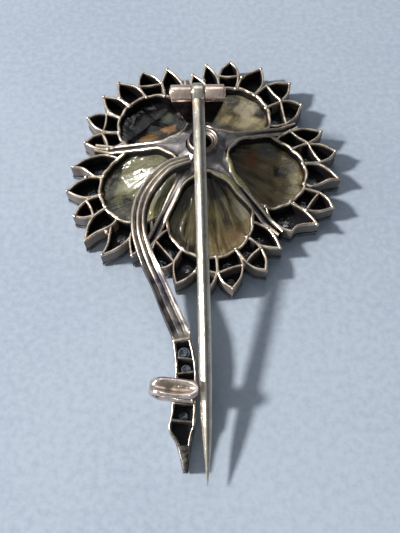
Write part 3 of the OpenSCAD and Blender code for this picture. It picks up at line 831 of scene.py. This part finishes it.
def linear(r, g, b):
    """A colour given as 0 to 255 on the screen, made linear."""
    def one(c):
        c = c / 255
        return c / 12.92 if c <= 0.04045 else ((c + 0.055) / 1.055) ** 2.4
    return (one(r), one(g), one(b), 1.0)


class Nodes:
    """Short calls for building a node tree."""

    def __init__(self, tree):
        self.tree = tree
        self.material = None
        self.shader = None

    def add(self, kind, **settings):
        node = self.tree.nodes.new("ShaderNode" + kind)
        for key, value in settings.items():
            setattr(node, key, value)
        return node

    def link(self, source, target):
        self.tree.links.new(source, target)

    def feed(self, sockets, *values):
        """Links or sets sockets, one after the other."""
        for socket, value in zip(sockets, values):
            if isinstance(value, bpy.types.NodeSocket):
                self.link(value, socket)
            else:
                socket.default_value = value

    def math(self, operation, *values, clamp=False):
        node = self.add("Math", operation=operation, use_clamp=clamp)
        self.feed(node.inputs, *values)
        return node.outputs[0]

    def plus(self, a, b, clamp=False):
        return self.math("ADD", a, b, clamp=clamp)

    def minus(self, a, b):
        return self.math("SUBTRACT", a, b)

    def times(self, a, b):
        return self.math("MULTIPLY", a, b)

    def vector(self, operation, *values):
        """A sum of vectors, whose answer is a number for a distance or a dot product."""
        node = self.add("VectorMath", operation=operation)
        self.feed(node.inputs, *values)
        return node.outputs["Value" if operation in ("DISTANCE", "DOT_PRODUCT") else "Vector"]

    def joined(self, x, y, z):
        node = self.add("CombineXYZ")
        self.feed(node.inputs, x, y, z)
        return node.outputs[0]

    def parted(self, vector):
        node = self.add("SeparateXYZ")
        self.link(vector, node.inputs[0])
        return node.outputs

    def between(self, value, low, high, to_low=0.0, to_high=1.0):
        """Value carried smoothly from one range to another."""
        node = self.add("MapRange", interpolation_type="SMOOTHSTEP")
        self.feed(node.inputs, value, low, high, to_low, to_high)
        return node.outputs[0]

    def noise(self, vector, scale, detail=4.0, rough=0.55, stretch=None):
        node = self.add("TexNoise")
        names = ("Scale", "Detail", "Roughness")
        self.feed([node.inputs[name] for name in names], scale, detail, rough)
        if stretch is not None:
            place = self.add("Mapping")
            self.link(vector, place.inputs["Vector"])
            place.inputs["Scale"].default_value = stretch
            vector = place.outputs[0]
        self.link(vector, node.inputs["Vector"])
        return node.outputs["Fac"]

    def mix(self, share, a, b):
        """A mix of two colours, each a socket, a linear colour or three numbers on the screen."""
        node = self.add("Mix", data_type="RGBA")
        a, b = (linear(*c) if isinstance(c, tuple) and len(c) == 3 else c for c in (a, b))
        self.feed([node.inputs[k] for k in (0, 6, 7)], share, a, b)
        return node.outputs[2]

    def place(self):
        """Object coordinates in millimetres."""
        size = self.add("VectorMath", operation="SCALE")
        self.link(self.add("TexCoord").outputs["Object"], size.inputs[0])
        size.inputs["Scale"].default_value = 1 / MM
        return size.outputs[0]

    def lay(self):
        """The piece's own UV map, as its two numbers."""
        return self.parted(self.add("UVMap", uv_map="lay").outputs[0])[:2]

    def bump(self, height, strength, distance):
        node = self.add("Bump")
        names = ("Strength", "Distance", "Height")
        self.feed([node.inputs[name] for name in names], strength, distance, height)
        return node.outputs[0]

    def coat(self, **values):
        """Sets or links the shader's own sockets, named with underscores for spaces."""
        for key, value in values.items():
            self.feed([self.shader.inputs[key.replace("_", " ")]], value)
        return self.material


def new_group(name, inputs, outputs):
    """A shader node group with named number inputs and outputs, and its two end nodes."""
    group = bpy.data.node_groups.new(name, "ShaderNodeTree")
    for title, value in inputs.items():
        socket = group.interface.new_socket(title, in_out="INPUT", socket_type="NodeSocketFloat")
        socket.default_value = value
    for title in outputs:
        group.interface.new_socket(title, in_out="OUTPUT", socket_type="NodeSocketFloat")
    given = group.nodes.new("NodeGroupInput")
    result = group.nodes.new("NodeGroupOutput")
    return group, Nodes(group), given.outputs, result.inputs


def wear_group():
    """Worn metal: blotches of tarnish, fine scratches both ways and pits, by place."""
    group, n, given, result = new_group(
        "worn metal",
        {"Blotch Size": 1.5, "Scratches": 0.5, "Pits": 0.5},
        ("Tarnish", "Height", "Roughness Shift"),
    )
    where = n.place()
    blotch = n.noise(where, n.math("DIVIDE", 1.0, given["Blotch Size"]), 5.0, 0.62)
    fine = n.noise(where, 9.0, 5.0, 0.7)
    across = n.noise(where, 6.0, 3.0, 0.6, stretch=(9.0, 0.7, 3.0))
    along = n.noise(where, 6.0, 3.0, 0.6, stretch=(0.9, 8.0, 2.0))
    both = n.plus(n.between(across, 0.62, 0.72), n.between(along, 0.64, 0.74))
    lines = n.times(both, given["Scratches"])
    pits = n.times(n.between(fine, 0.62, 0.78), given["Pits"])
    n.link(n.between(blotch, 0.4, 0.68), result["Tarnish"])
    n.link(n.minus(n.times(fine, 0.35), n.plus(lines, pits)), result["Height"])
    shift = n.plus(n.times(n.minus(fine, 0.5), 0.3), n.times(lines, 0.1))
    n.link(shift, result["Roughness Shift"])
    return group


def cell_group():
    """Depth in an open cell: a clean back edge, then painted shade that darkens with depth inside it."""
    group, n, given, result = new_group(
        "cell depth",
        {"Clean Depth": 0.16, "Dark Depth": 0.5},
        ("Painted Shade", "Outer Face"),
    )
    side, depth = n.lay()
    ragged = n.times(n.minus(n.noise(n.place(), 2.5, 4.0), 0.5), 0.35)
    # painted shade: darker the deeper a point lies below the back edge
    painted_shade = n.between(n.plus(depth, ragged), given["Clean Depth"], given["Dark Depth"])
    n.link(painted_shade, result["Painted Shade"])
    n.link(n.between(n.times(side, -1.0), 0.5, 0.95), result["Outer Face"])
    return group


def fan_group():
    """Streaks that fan out from the flower's centre, and cloudy patches in a stone."""
    group, n, given, result = new_group(
        "stone fan",
        {"Rays": 9.0, "Cloud Size": 3.0, "Shift": 0.0},
        ("Streaks", "Clouds", "Height"),
    )
    where = n.place()
    x, y, _ = n.parted(n.vector("SUBTRACT", where, tuple(PLACE)))
    turn = n.math("ARCTAN2", y, x)
    away = n.math("SQRT", n.plus(n.math("POWER", x, 2.0), n.math("POWER", y, 2.0)), 0.0)
    polar = n.joined(n.times(turn, given["Rays"]), n.times(away, 0.16), given["Shift"])
    streaks = n.noise(polar, 1.0, 3.0, 0.6)
    moved = n.vector("ADD", where, n.joined(0.0, 0.0, given["Shift"]))
    clouds = n.noise(moved, n.math("DIVIDE", 1.0, given["Cloud Size"]), 4.0, 0.6)
    n.link(n.between(streaks, 0.36, 0.64), result["Streaks"])
    n.link(n.between(clouds, 0.38, 0.62), result["Clouds"])
    n.link(n.plus(streaks, n.times(clouds, 0.5)), result["Height"])
    return group


WEAR = wear_group()
CELL = cell_group()
FAN = fan_group()


def use_group(n, group, **values):
    """Places a group in a material with its own values."""
    node = n.add("Group")
    node.node_tree = group
    for key, value in values.items():
        node.inputs[key.replace("_", " ")].default_value = value
    return node.outputs


def new_material(name):
    """The nodes of an empty material with its Principled BSDF."""
    material = bpy.data.materials.new(name)
    material.use_nodes = True
    n = Nodes(material.node_tree)
    n.material = material
    n.shader = material.node_tree.nodes["Principled BSDF"]
    return n


def new_metal(name, blotch, scratches, pits):
    """The nodes of a new metal and its wear."""
    n = new_material(name)
    return n, use_group(n, WEAR, Blotch_Size=blotch, Scratches=scratches, Pits=pits)


def roughened(n, wear, rough, mask, more):
    """Roughness that varies with the wear and rises where a mask is strong."""
    return n.plus(rough, n.plus(wear["Roughness Shift"], n.times(mask, more)), clamp=True)


def plain_metal(name, clean, tarnish, rough, amount, blotch):
    """Worn metal all over: clean colour, tarnish in blotches, scratches and pits."""
    n, wear = new_metal(name, blotch, 0.4, 0.4)
    share = n.times(wear["Tarnish"], amount)
    return n.coat(
        Base_Color=n.mix(share, clean, tarnish),
        Metallic=1.0,
        Roughness=roughened(n, wear, rough, share, 0.25),
        Normal=n.bump(wear["Height"], 0.35, 0.00003),
    )


# Middle of a painted yellow-green highlight where the right and bottom petals meet near the hub
HUB_HIGHLIGHT = (4.6 + PLACE[0], -2.8 + PLACE[1], 5.0)
# Black of the painted shade deep in the open cells and on the floor at their bottom
CELL_SHADE = (17, 15, 20)


def cell_metal(name, clean, tarnish, outer):
    """Cell walls: a clean worn back edge with a painted yellow-green highlight near the hub, painted shade
    that turns black deeper inside each cell, and dull grey outside.
    """
    n, wear = new_metal(name, 1.1, 0.25, 0.45)
    cell = use_group(n, CELL, Clean_Depth=0.12, Dark_Depth=0.34)
    edge = n.mix(n.times(wear["Tarnish"], 0.75), clean, tarnish)
    walls = n.mix(cell["Outer Face"], CELL_SHADE, outer)
    # painted highlight: the back edges turn yellow-green near the hub
    from_highlight = n.vector("DISTANCE", n.place(), HUB_HIGHLIGHT)
    edge = n.mix(n.between(from_highlight, 1.4, 3.4, 0.75, 0.0), edge, (226, 216, 146))
    # painted shade: the walls turn black, less metallic and duller deeper in each cell
    dull = n.plus(0.26, n.times(cell["Painted Shade"], 0.28))
    return n.coat(
        Base_Color=n.mix(cell["Painted Shade"], edge, walls),
        Metallic=n.between(cell["Painted Shade"], 0.0, 1.0, 1.0, 0.35),
        Roughness=n.plus(dull, wear["Roughness Shift"], clamp=True),
        Normal=n.bump(wear["Height"], 0.4, 0.00004),
    )


def front_metal():
    """Front plates: dark silver below, and painted shade on the back, the floor at the bottom of the cells.
    """
    n, wear = new_metal("dark silver", 1.4, 0.4, 0.4)
    height, _ = n.lay()
    # painted shade: the back face of the plate, at the bottom of the cells, turns black
    painted_shade = n.between(height, 0.55, 0.95)
    base = n.mix(n.times(wear["Tarnish"], 0.8), (178, 176, 174), (74, 70, 70))
    return n.coat(
        Base_Color=n.mix(painted_shade, base, CELL_SHADE),
        Metallic=n.between(painted_shade, 0.0, 1.0, 1.0, 0.4),
        Roughness=roughened(n, wear, 0.34, painted_shade, 0.2),
        Normal=n.bump(wear["Height"], 0.4, 0.00004),
    )


def reed_metal():
    """Stem: worn gold ridges, grooves and sides darkened with painted shade, streaks along the bar."""
    n, wear = new_metal("reeded stem gold", 1.8, 0.3, 0.4)
    depth, _ = n.lay()
    # painted shade in the grooves and down the sides, its edge moved a little by the tarnish
    groove_shade = n.between(n.plus(depth, n.times(n.minus(wear["Tarnish"], 0.5), 0.12)), 0.1, 0.36)
    edge = n.mix(n.times(wear["Tarnish"], 0.6), (180, 170, 158), (112, 102, 94))
    return n.coat(
        Base_Color=n.mix(groove_shade, edge, (62, 61, 68)),
        Metallic=1.0,
        Roughness=roughened(n, wear, 0.3, groove_shade, 0.2),
        Normal=n.bump(wear["Height"], 0.5, 0.00006),
    )


def star_metal():
    """Star plate: grey satin silver, blotched, with painted shade along the middle of each arm between the
    petals.
    """
    n, wear = new_metal("star silver", 1.3, 0.5, 0.3)
    side, away = n.lay()
    middle = n.minus(1.0, n.math("ABSOLUTE", side, 0.0))
    # painted shade down the sunken middle of each arm, away from the hub
    painted_shade = n.times(n.between(middle, 0.1, 0.7), n.between(away, 4.0, 8.0))
    base = n.mix(n.times(wear["Tarnish"], 0.7), (156, 150, 148), (78, 72, 73))
    return n.coat(
        Base_Color=n.mix(painted_shade, base, (30, 27, 32)),
        Metallic=1.0,
        Roughness=roughened(n, wear, 0.36, painted_shade, 0.2),
        Normal=n.bump(wear["Height"], 0.5, 0.00005),
    )


def pin_metal():
    """Pin: pale gold with fine drawn lines along the wire and small dents."""
    n, wear = new_metal("drawn pin gold", 2.2, 0.3, 0.5)
    around, along = n.lay()
    x = n.math("SINE", around, 0.0)
    y = n.math("COSINE", around, 0.0)
    strip = n.joined(n.times(x, 9.0), n.times(y, 9.0), n.times(along, 0.35))
    lines = n.noise(strip, 1.0, 4.0, 0.65)
    streak = n.between(lines, 0.52, 0.7)
    share = n.plus(n.times(wear["Tarnish"], 0.35), n.times(streak, 0.4), clamp=True)
    ticks = n.noise(n.joined(x, y, n.times(along, 4.5)), 1.0, 3.0, 0.7)
    marks = n.plus(n.times(lines, 1.6), n.times(ticks, 1.3))
    return n.coat(
        Base_Color=n.mix(share, (220, 211, 194), (126, 115, 100)),
        Metallic=1.0,
        Roughness=roughened(n, wear, 0.2, streak, 0.14),
        Normal=n.bump(n.minus(wear["Height"], marks), 0.4, 0.00004),
    )


def catch_metal():
    """Catch: a rim painted pale pink as a reflection of the table, and a scratched, dished hollow painted
    darker and yellower as shade.
    """
    n, wear = new_metal("catch gold", 0.9, 0.35, 0.5)
    hollow, _ = n.lay()
    # painted reflection on the pale rim and painted shade in the hollow
    base = n.mix(n.between(hollow, 0.2, 0.8), (236, 218, 208), (186, 168, 146))
    return n.coat(
        Base_Color=n.mix(n.times(wear["Tarnish"], 0.55), base, (112, 92, 76)),
        Metallic=1.0,
        Roughness=n.plus(0.15, wear["Roughness Shift"], clamp=True),
        Normal=n.bump(wear["Height"], 0.4, 0.00005),
    )


def diamond_glass():
    """Cut diamond: clear, with faint dust that dulls the facets here and there."""
    n = new_material("diamond")
    dust = n.noise(n.place(), 3.0, 4.0)
    return n.coat(
        Base_Color=n.mix(n.between(dust, 0.45, 0.7), (176, 180, 186), (100, 102, 108)),
        Roughness=n.between(dust, 0.45, 0.75, 0.02, 0.16),
        IOR=2.42,
        Transmission_Weight=0.9,
    )


def citrine_glass(name, number, shade, dark, body, light, *patches):
    """Carved citrine: light streaks from the flower's centre, partly painted highlight, over cloudy patches
    of three colours.

    The stone is painted darker towards the hub, as shade. Each extra patch is a place in flower
    millimetres, a radius and a colour, with a ragged edge; many are painted glints, reflections and shade,
    the others the stone's own colour.
    """
    n = new_material(f"citrine {name}".replace("_", " "))
    fan = use_group(n, FAN, Rays=11.0, Cloud_Size=2.2, Shift=3.7 * number)
    base = n.mix(fan["Clouds"], dark, body)
    base = n.mix(n.times(fan["Streaks"], 0.6), base, light)
    flat = n.vector("MULTIPLY", n.place(), (1, 1, 0))
    ragged = n.times(n.minus(n.noise(flat, 1.1, 4.0), 0.5), 2.2)
    # Patches: painted glints, reflections and shade, and the stone's own amber and olive colour
    for x, y, radius, colour in patches:
        away = n.plus(n.vector("DISTANCE", flat, (x + PLACE[0], y + PLACE[1], 0)), ragged)
        base = n.mix(n.between(away, 0.5 * radius, 1.25 * radius, 0.92, 0.0), base, colour)
    # painted shade towards the hub
    from_hub = n.vector("DISTANCE", flat, (PLACE[0], PLACE[1], 0))
    return n.coat(
        Base_Color=n.mix(n.between(from_hub, 3.5, 9.5, shade, 0.0), base, (22, 20, 18)),
        IOR=1.54,
        Transmission_Weight=0.75,
        Roughness=n.between(fan["Clouds"], 0.0, 1.0, 0.05, 0.14),
        Normal=n.bump(fan["Height"], 0.9, 0.0003),
    )


MAT = {
    "gallery": cell_metal("gallery gold", (228, 212, 192), (152, 130, 116), (124, 117, 112)),
    "stem_cells": cell_metal("stem cell gold", (150, 142, 132), (78, 72, 70), (78, 74, 74)),
    "front": front_metal(),
    "star": star_metal(),
    "collet": plain_metal("collet gold", (146, 136, 130), (74, 64, 64), 0.36, 0.8, 1.0),
    "reeds": reed_metal(),
    # The bracket is painted near black: painted shade beneath the hinge barrels, with tarnish blotches
    "bracket": plain_metal("bracket gold in painted shade", (44, 34, 38), (16, 13, 17), 0.42, 1.0, 0.9),
    "hinge": plain_metal("hinge gold", (244, 218, 200), (150, 122, 106), 0.2, 0.5, 1.2),
    "rivet": plain_metal("rivet gold", (226, 202, 168), (120, 100, 80), 0.2, 0.4, 0.8),
    "pin": pin_metal(),
    "catch": catch_metal(),
    "diamond": diamond_glass(),
}

# Each citrine: strength of the painted shade near the hub, its three colours, then its patches, which mix
# painted highlights, reflections and shade with the stone's own colour
TINTS = {
    "bottom": (
        0.8, (62, 53, 34), (146, 130, 82), (206, 192, 144),
        (1.6, -4.6, 1.5, (44, 36, 26)), (2.7, -10.6, 2.2, (160, 138, 90)),
        (4.5, -6.8, 1.2, (198, 190, 166)), (4.4, -9.3, 1.0, (150, 120, 84)),
    ),
    "right": (
        0.4, (66, 54, 38), (158, 142, 94), (204, 186, 142),
        (6.0, -0.3, 1.1, (184, 108, 66)), (8.4, 1.9, 1.3, (164, 160, 160)),
        (9.9, -0.6, 1.0, (32, 25, 32)), (12.9, -0.5, 1.0, (196, 136, 76)),
        (11.6, -1.5, 0.9, (210, 204, 160)),
    ),
    "upper_right": (
        0.12, (80, 70, 52), (172, 158, 122), (226, 210, 172),
        (3.6, 6.4, 1.3, (236, 214, 160)), (6.4, 6.4, 2.0, (250, 234, 192)),
        (6.0, 9.3, 1.5, (236, 224, 194)), (4.4, 10.9, 1.1, (104, 100, 98)),
        (8.0, 8.6, 0.9, (40, 33, 23)), (9.4, 6.4, 0.9, (52, 43, 31)),
        (9.4, 9.6, 1.1, (60, 54, 42)),
    ),
    "upper_left": (
        0.1, (11, 10, 13), (27, 25, 29), (50, 47, 46),
        (-6.5, 3.5, 1.4, (190, 150, 92)), (-3.9, 4.9, 1.0, (222, 168, 108)),
        (-4.3, 7.4, 1.1, (96, 102, 80)), (-9.6, 6.1, 1.5, (26, 28, 42)),
    ),
    "left": (
        0.3, (96, 91, 64), (162, 156, 112), (226, 222, 186),
        (-9.0, -5.0, 1.1, (38, 32, 22)), (-5.0, -7.2, 1.7, (202, 194, 138)),
        (-8.6, -2.2, 1.1, (228, 228, 200)), (-10.6, -4.4, 0.9, (124, 126, 68)),
    ),
}
CITRINES = {name: citrine_glass(name, k, *TINTS[name]) for k, name in enumerate(PETALS)}


# ---- The brooch ----

PLATE_SHARP = 35


def bevelled_plate(node, material, front=0.05, lift=0.12, width=0.07):
    """A CAD plate's closed copy that stands for the plate, with softened edges.

    Its front face is lifted a little off the table. Its UV is the share of height through it.
    """
    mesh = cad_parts[node].data.copy()
    close_gaps(mesh, PLATE_MERGE_REACH)
    points = np.empty(3 * len(mesh.vertices))
    mesh.vertices.foreach_get("co", points)
    points = points.reshape(-1, 3)
    points[points[:, 2] < front * MM, 2] += lift * MM
    mesh.vertices.foreach_set("co", points.ravel())
    under = 0.0
    if node == "stem_front":
        under = stem_level(STEM_UNDER, points[:, 1] / MM - PLACE[1])
    share = np.clip((points[:, 2] / MM - under - 0.2) / 0.5, 0, 1)
    while mesh.uv_layers:
        mesh.uv_layers.remove(mesh.uv_layers[0])
    lay_uv(mesh, np.stack([share, share], axis=1))
    mesh.update()
    shade(mesh, material, PLATE_SHARP)
    obj = put(node + "_worn", mesh)
    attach(obj, "brooch")
    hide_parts(node)
    bevel = obj.modifiers.new("soft edges", "BEVEL")
    bevel.width = width * MM
    bevel.segments = 2
    bevel.limit_method = "ANGLE"
    bevel.angle_limit = math.radians(PLATE_SHARP)
    return obj


for number, name in enumerate(PETALS):
    make_piece(f"gallery_{name}_walls", gallery_shape(name, number), MAT["gallery"],
               [f"gallery_{name}"], 50)
    make_piece(f"citrine_{name}_carved", citrine_shape(name, number), CITRINES[name],
               [f"citrine_{name}"], 60)
    make_piece(f"diamonds_{name}_cut", diamonds_shape(name), MAT["diamond"],
               [f"diamonds_{name}"], 1)
    bevelled_plate(f"setting_{name}", MAT["front"])
    make_piece(f"claws_{name}", claws_shape(name), MAT["front"], (), 60)

make_piece("star_web", star_shape(), MAT["star"], ["star_plate"], 35)

# Radius and height of the collet's tube, with a second ring inside its lip
COLLET_PROFILE = np.array([
    (COLLET_R, -3.2), (COLLET_R + 0.02, -0.3), (COLLET_R - 0.02, -0.14), (COLLET_R - 0.1, -0.04),
    (1.66, 0), (1.56, -0.05), (1.5, -0.16), (1.42, -0.36), (1.3, -0.4), (1.22, -0.32),
    (1.14, -0.26), (1.06, -0.28), (1.0, -0.4), (0.99, -0.8), (1.2, -1.1), (1.35, -3.2),
])
collet = Shape()
revolved(collet, COLLET_PROFILE, (COLLET_X, 0, COLLET_H))
make_piece("collet_tube", collet, MAT["collet"], ["centre_collet"], 50)

CENTRE_STONE_R = 1.3
CENTRE_STONE_DROP = 3.4
centre = Shape()
cut_stone(centre, (COLLET_X, 0, COLLET_H - CENTRE_STONE_DROP), CENTRE_STONE_R)
make_piece("centre_stone", centre, MAT["diamond"], ["centre_diamond"], 1)

make_piece("stem_reeded", reeds_shape(), MAT["reeds"], ["stem_reeds"], 60)
make_piece("stem_walls", stem_gallery_shape(), MAT["stem_cells"], ["stem_gallery"], 50)
make_piece("stem_stones", stem_diamonds_shape(), MAT["diamond"], ["stem_diamonds"], 1)
bevelled_plate("stem_front", MAT["front"], -1.0, 0.0)

PROUD = 0.04
PLAY = 0.03
BARREL_BORE = RIVET_R + 0.02

knuckles = Shape()
for start, end in (
    (BARREL_LEFT - PLAY, HINGE[0] - KNUCKLE_HALF - PLAY),
    (HINGE[0] + KNUCKLE_HALF + PLAY, BARREL_RIGHT + PLAY),
):
    lathed_along_x(knuckles, start, end, BARREL_R + PROUD, BARREL_BORE)
make_piece("hinge_barrels", knuckles, MAT["hinge"], (), 40)
bevelled_plate("hinge_bracket", MAT["bracket"], -1.0, 0.0, 0.1)

HEAD_R = RIVET_R + 0.14
HEAD_HALF = 0.12
rivet = Shape()
lathed_along_x(rivet, BARREL_LEFT - 0.1, BARREL_RIGHT + 0.1, RIVET_R, 0.0, 0.1, 32)
for end in (BARREL_LEFT - 0.06, BARREL_RIGHT + 0.06):
    lathed_along_x(rivet, end - HEAD_HALF, end + HEAD_HALF, HEAD_R, 0.0, 0.11, 32)
make_piece("rivet_headed", rivet, MAT["rivet"], ["hinge_rivet"], 40)

head = Shape()
lathed_along_x(head, HINGE[0] - KNUCKLE_HALF, HINGE[0] + KNUCKLE_HALF, KNUCKLE_R, RIVET_R + 0.04, 0.26)
make_piece("pin_head", head, MAT["pin"], ["pin_knuckle"], 40, "pin")
make_piece("pin_drawn", pin_shape(), MAT["pin"], ["pin_wire"], 60, "pin")

make_piece("catch_bent", catch_shape(), MAT["catch"], ["catch_hook"], 60)
bevelled_plate("catch_foot", MAT["catch"], -1.0, 0.0, 0.06)


# ---- Floor, light and camera ----

def floor_material():
    """Pale blue-grey card: faint mottling and a slight sheen."""
    n = new_material("pale card")
    where = n.place()
    cloud = n.noise(where, 0.02, 3.0)
    fibre = n.noise(where, 1.3, 4.0, 0.6)
    tone = n.plus(n.times(cloud, 0.45), n.times(fibre, 0.55))
    return n.coat(
        Base_Color=n.mix(n.between(tone, 0.35, 0.65), (144, 154, 168), (158, 168, 181)),
        Roughness=n.between(fibre, 0.3, 0.7, 0.55, 0.7),
        Specular_IOR_Level=0.06,
        Normal=n.bump(fibre, 0.25, 0.00006),
    )


FLOOR_HALF = 1.2
FLOOR_CORNERS = [(x * FLOOR_HALF, y * FLOOR_HALF, 0) for x, y in ((-1, -1), (1, -1), (1, 1), (-1, 1))]

floor_mesh = bpy.data.meshes.new("floor")
floor_mesh.from_pydata(FLOOR_CORNERS, [], [(0, 1, 2, 3)])
floor_mesh.materials.append(floor_material())
floor = put("floor", floor_mesh)
floor.location = (0, 0, -0.00002)

# A room that is brighter on its left, with one bright panel above
world = bpy.data.worlds.new("soft room")
world.use_nodes = True
room = Nodes(world.node_tree)
direction = room.add("TexCoord").outputs["Generated"]
towards_right = room.between(room.parted(direction)[0], -0.9, 0.9)
background = world.node_tree.nodes["Background"]
sides = room.mix(towards_right, (0.56, 0.61, 0.65, 1), (0.1, 0.11, 0.12, 1))
panel = room.between(room.vector("DOT_PRODUCT", direction, (-0.1, 0.5, 0.86)), 0.93, 0.98)
room.link(room.mix(panel, sides, (1.7, 1.7, 1.7, 1)), background.inputs["Color"])
background.inputs["Strength"].default_value = 1.0
bpy.context.scene.world = world

# A soft round lamp low on the left, aimed at the flower
WINDOW_AT = Vector((-0.62, -0.038, 0.48))
WINDOW_AIM = Vector((0, 0, 0.003))
lamp = bpy.data.lights.new("window", "AREA")
lamp.shape = "DISK"
lamp.size = 0.09
lamp.energy = 11.0
lamp.color = (1.0, 0.97, 0.93)
window = put("window", lamp)
window.location = WINDOW_AT
window.rotation_euler = (WINDOW_AIM - WINDOW_AT).to_track_quat("-Z", "Y").to_euler()

camera_data = bpy.data.cameras.new("camera")
camera_data.lens = 39.22
camera_data.sensor_width = 36
camera_data.sensor_fit = "AUTO"
camera_data.clip_start = 0.001
camera_data.clip_end = 10
camera = put("camera", camera_data)
CAMERA_AT = Vector((-0.18, -32.09, 62.41)) * MM
pitch = math.radians(64.87)
roll = math.radians(-0.76)
forward = Vector((0, math.cos(pitch), -math.sin(pitch)))
right = Vector((1, 0, 0))
up = right.cross(forward)
camera_right = right * math.cos(roll) + up * math.sin(roll)
camera_up = -right * math.sin(roll) + up * math.cos(roll)
turn = Matrix((camera_right, camera_up, -forward)).transposed().to_4x4()
camera.matrix_world = Matrix.Translation(CAMERA_AT) @ turn
bpy.context.scene.camera = camera
bpy.context.scene.view_settings.view_transform = "Standard"
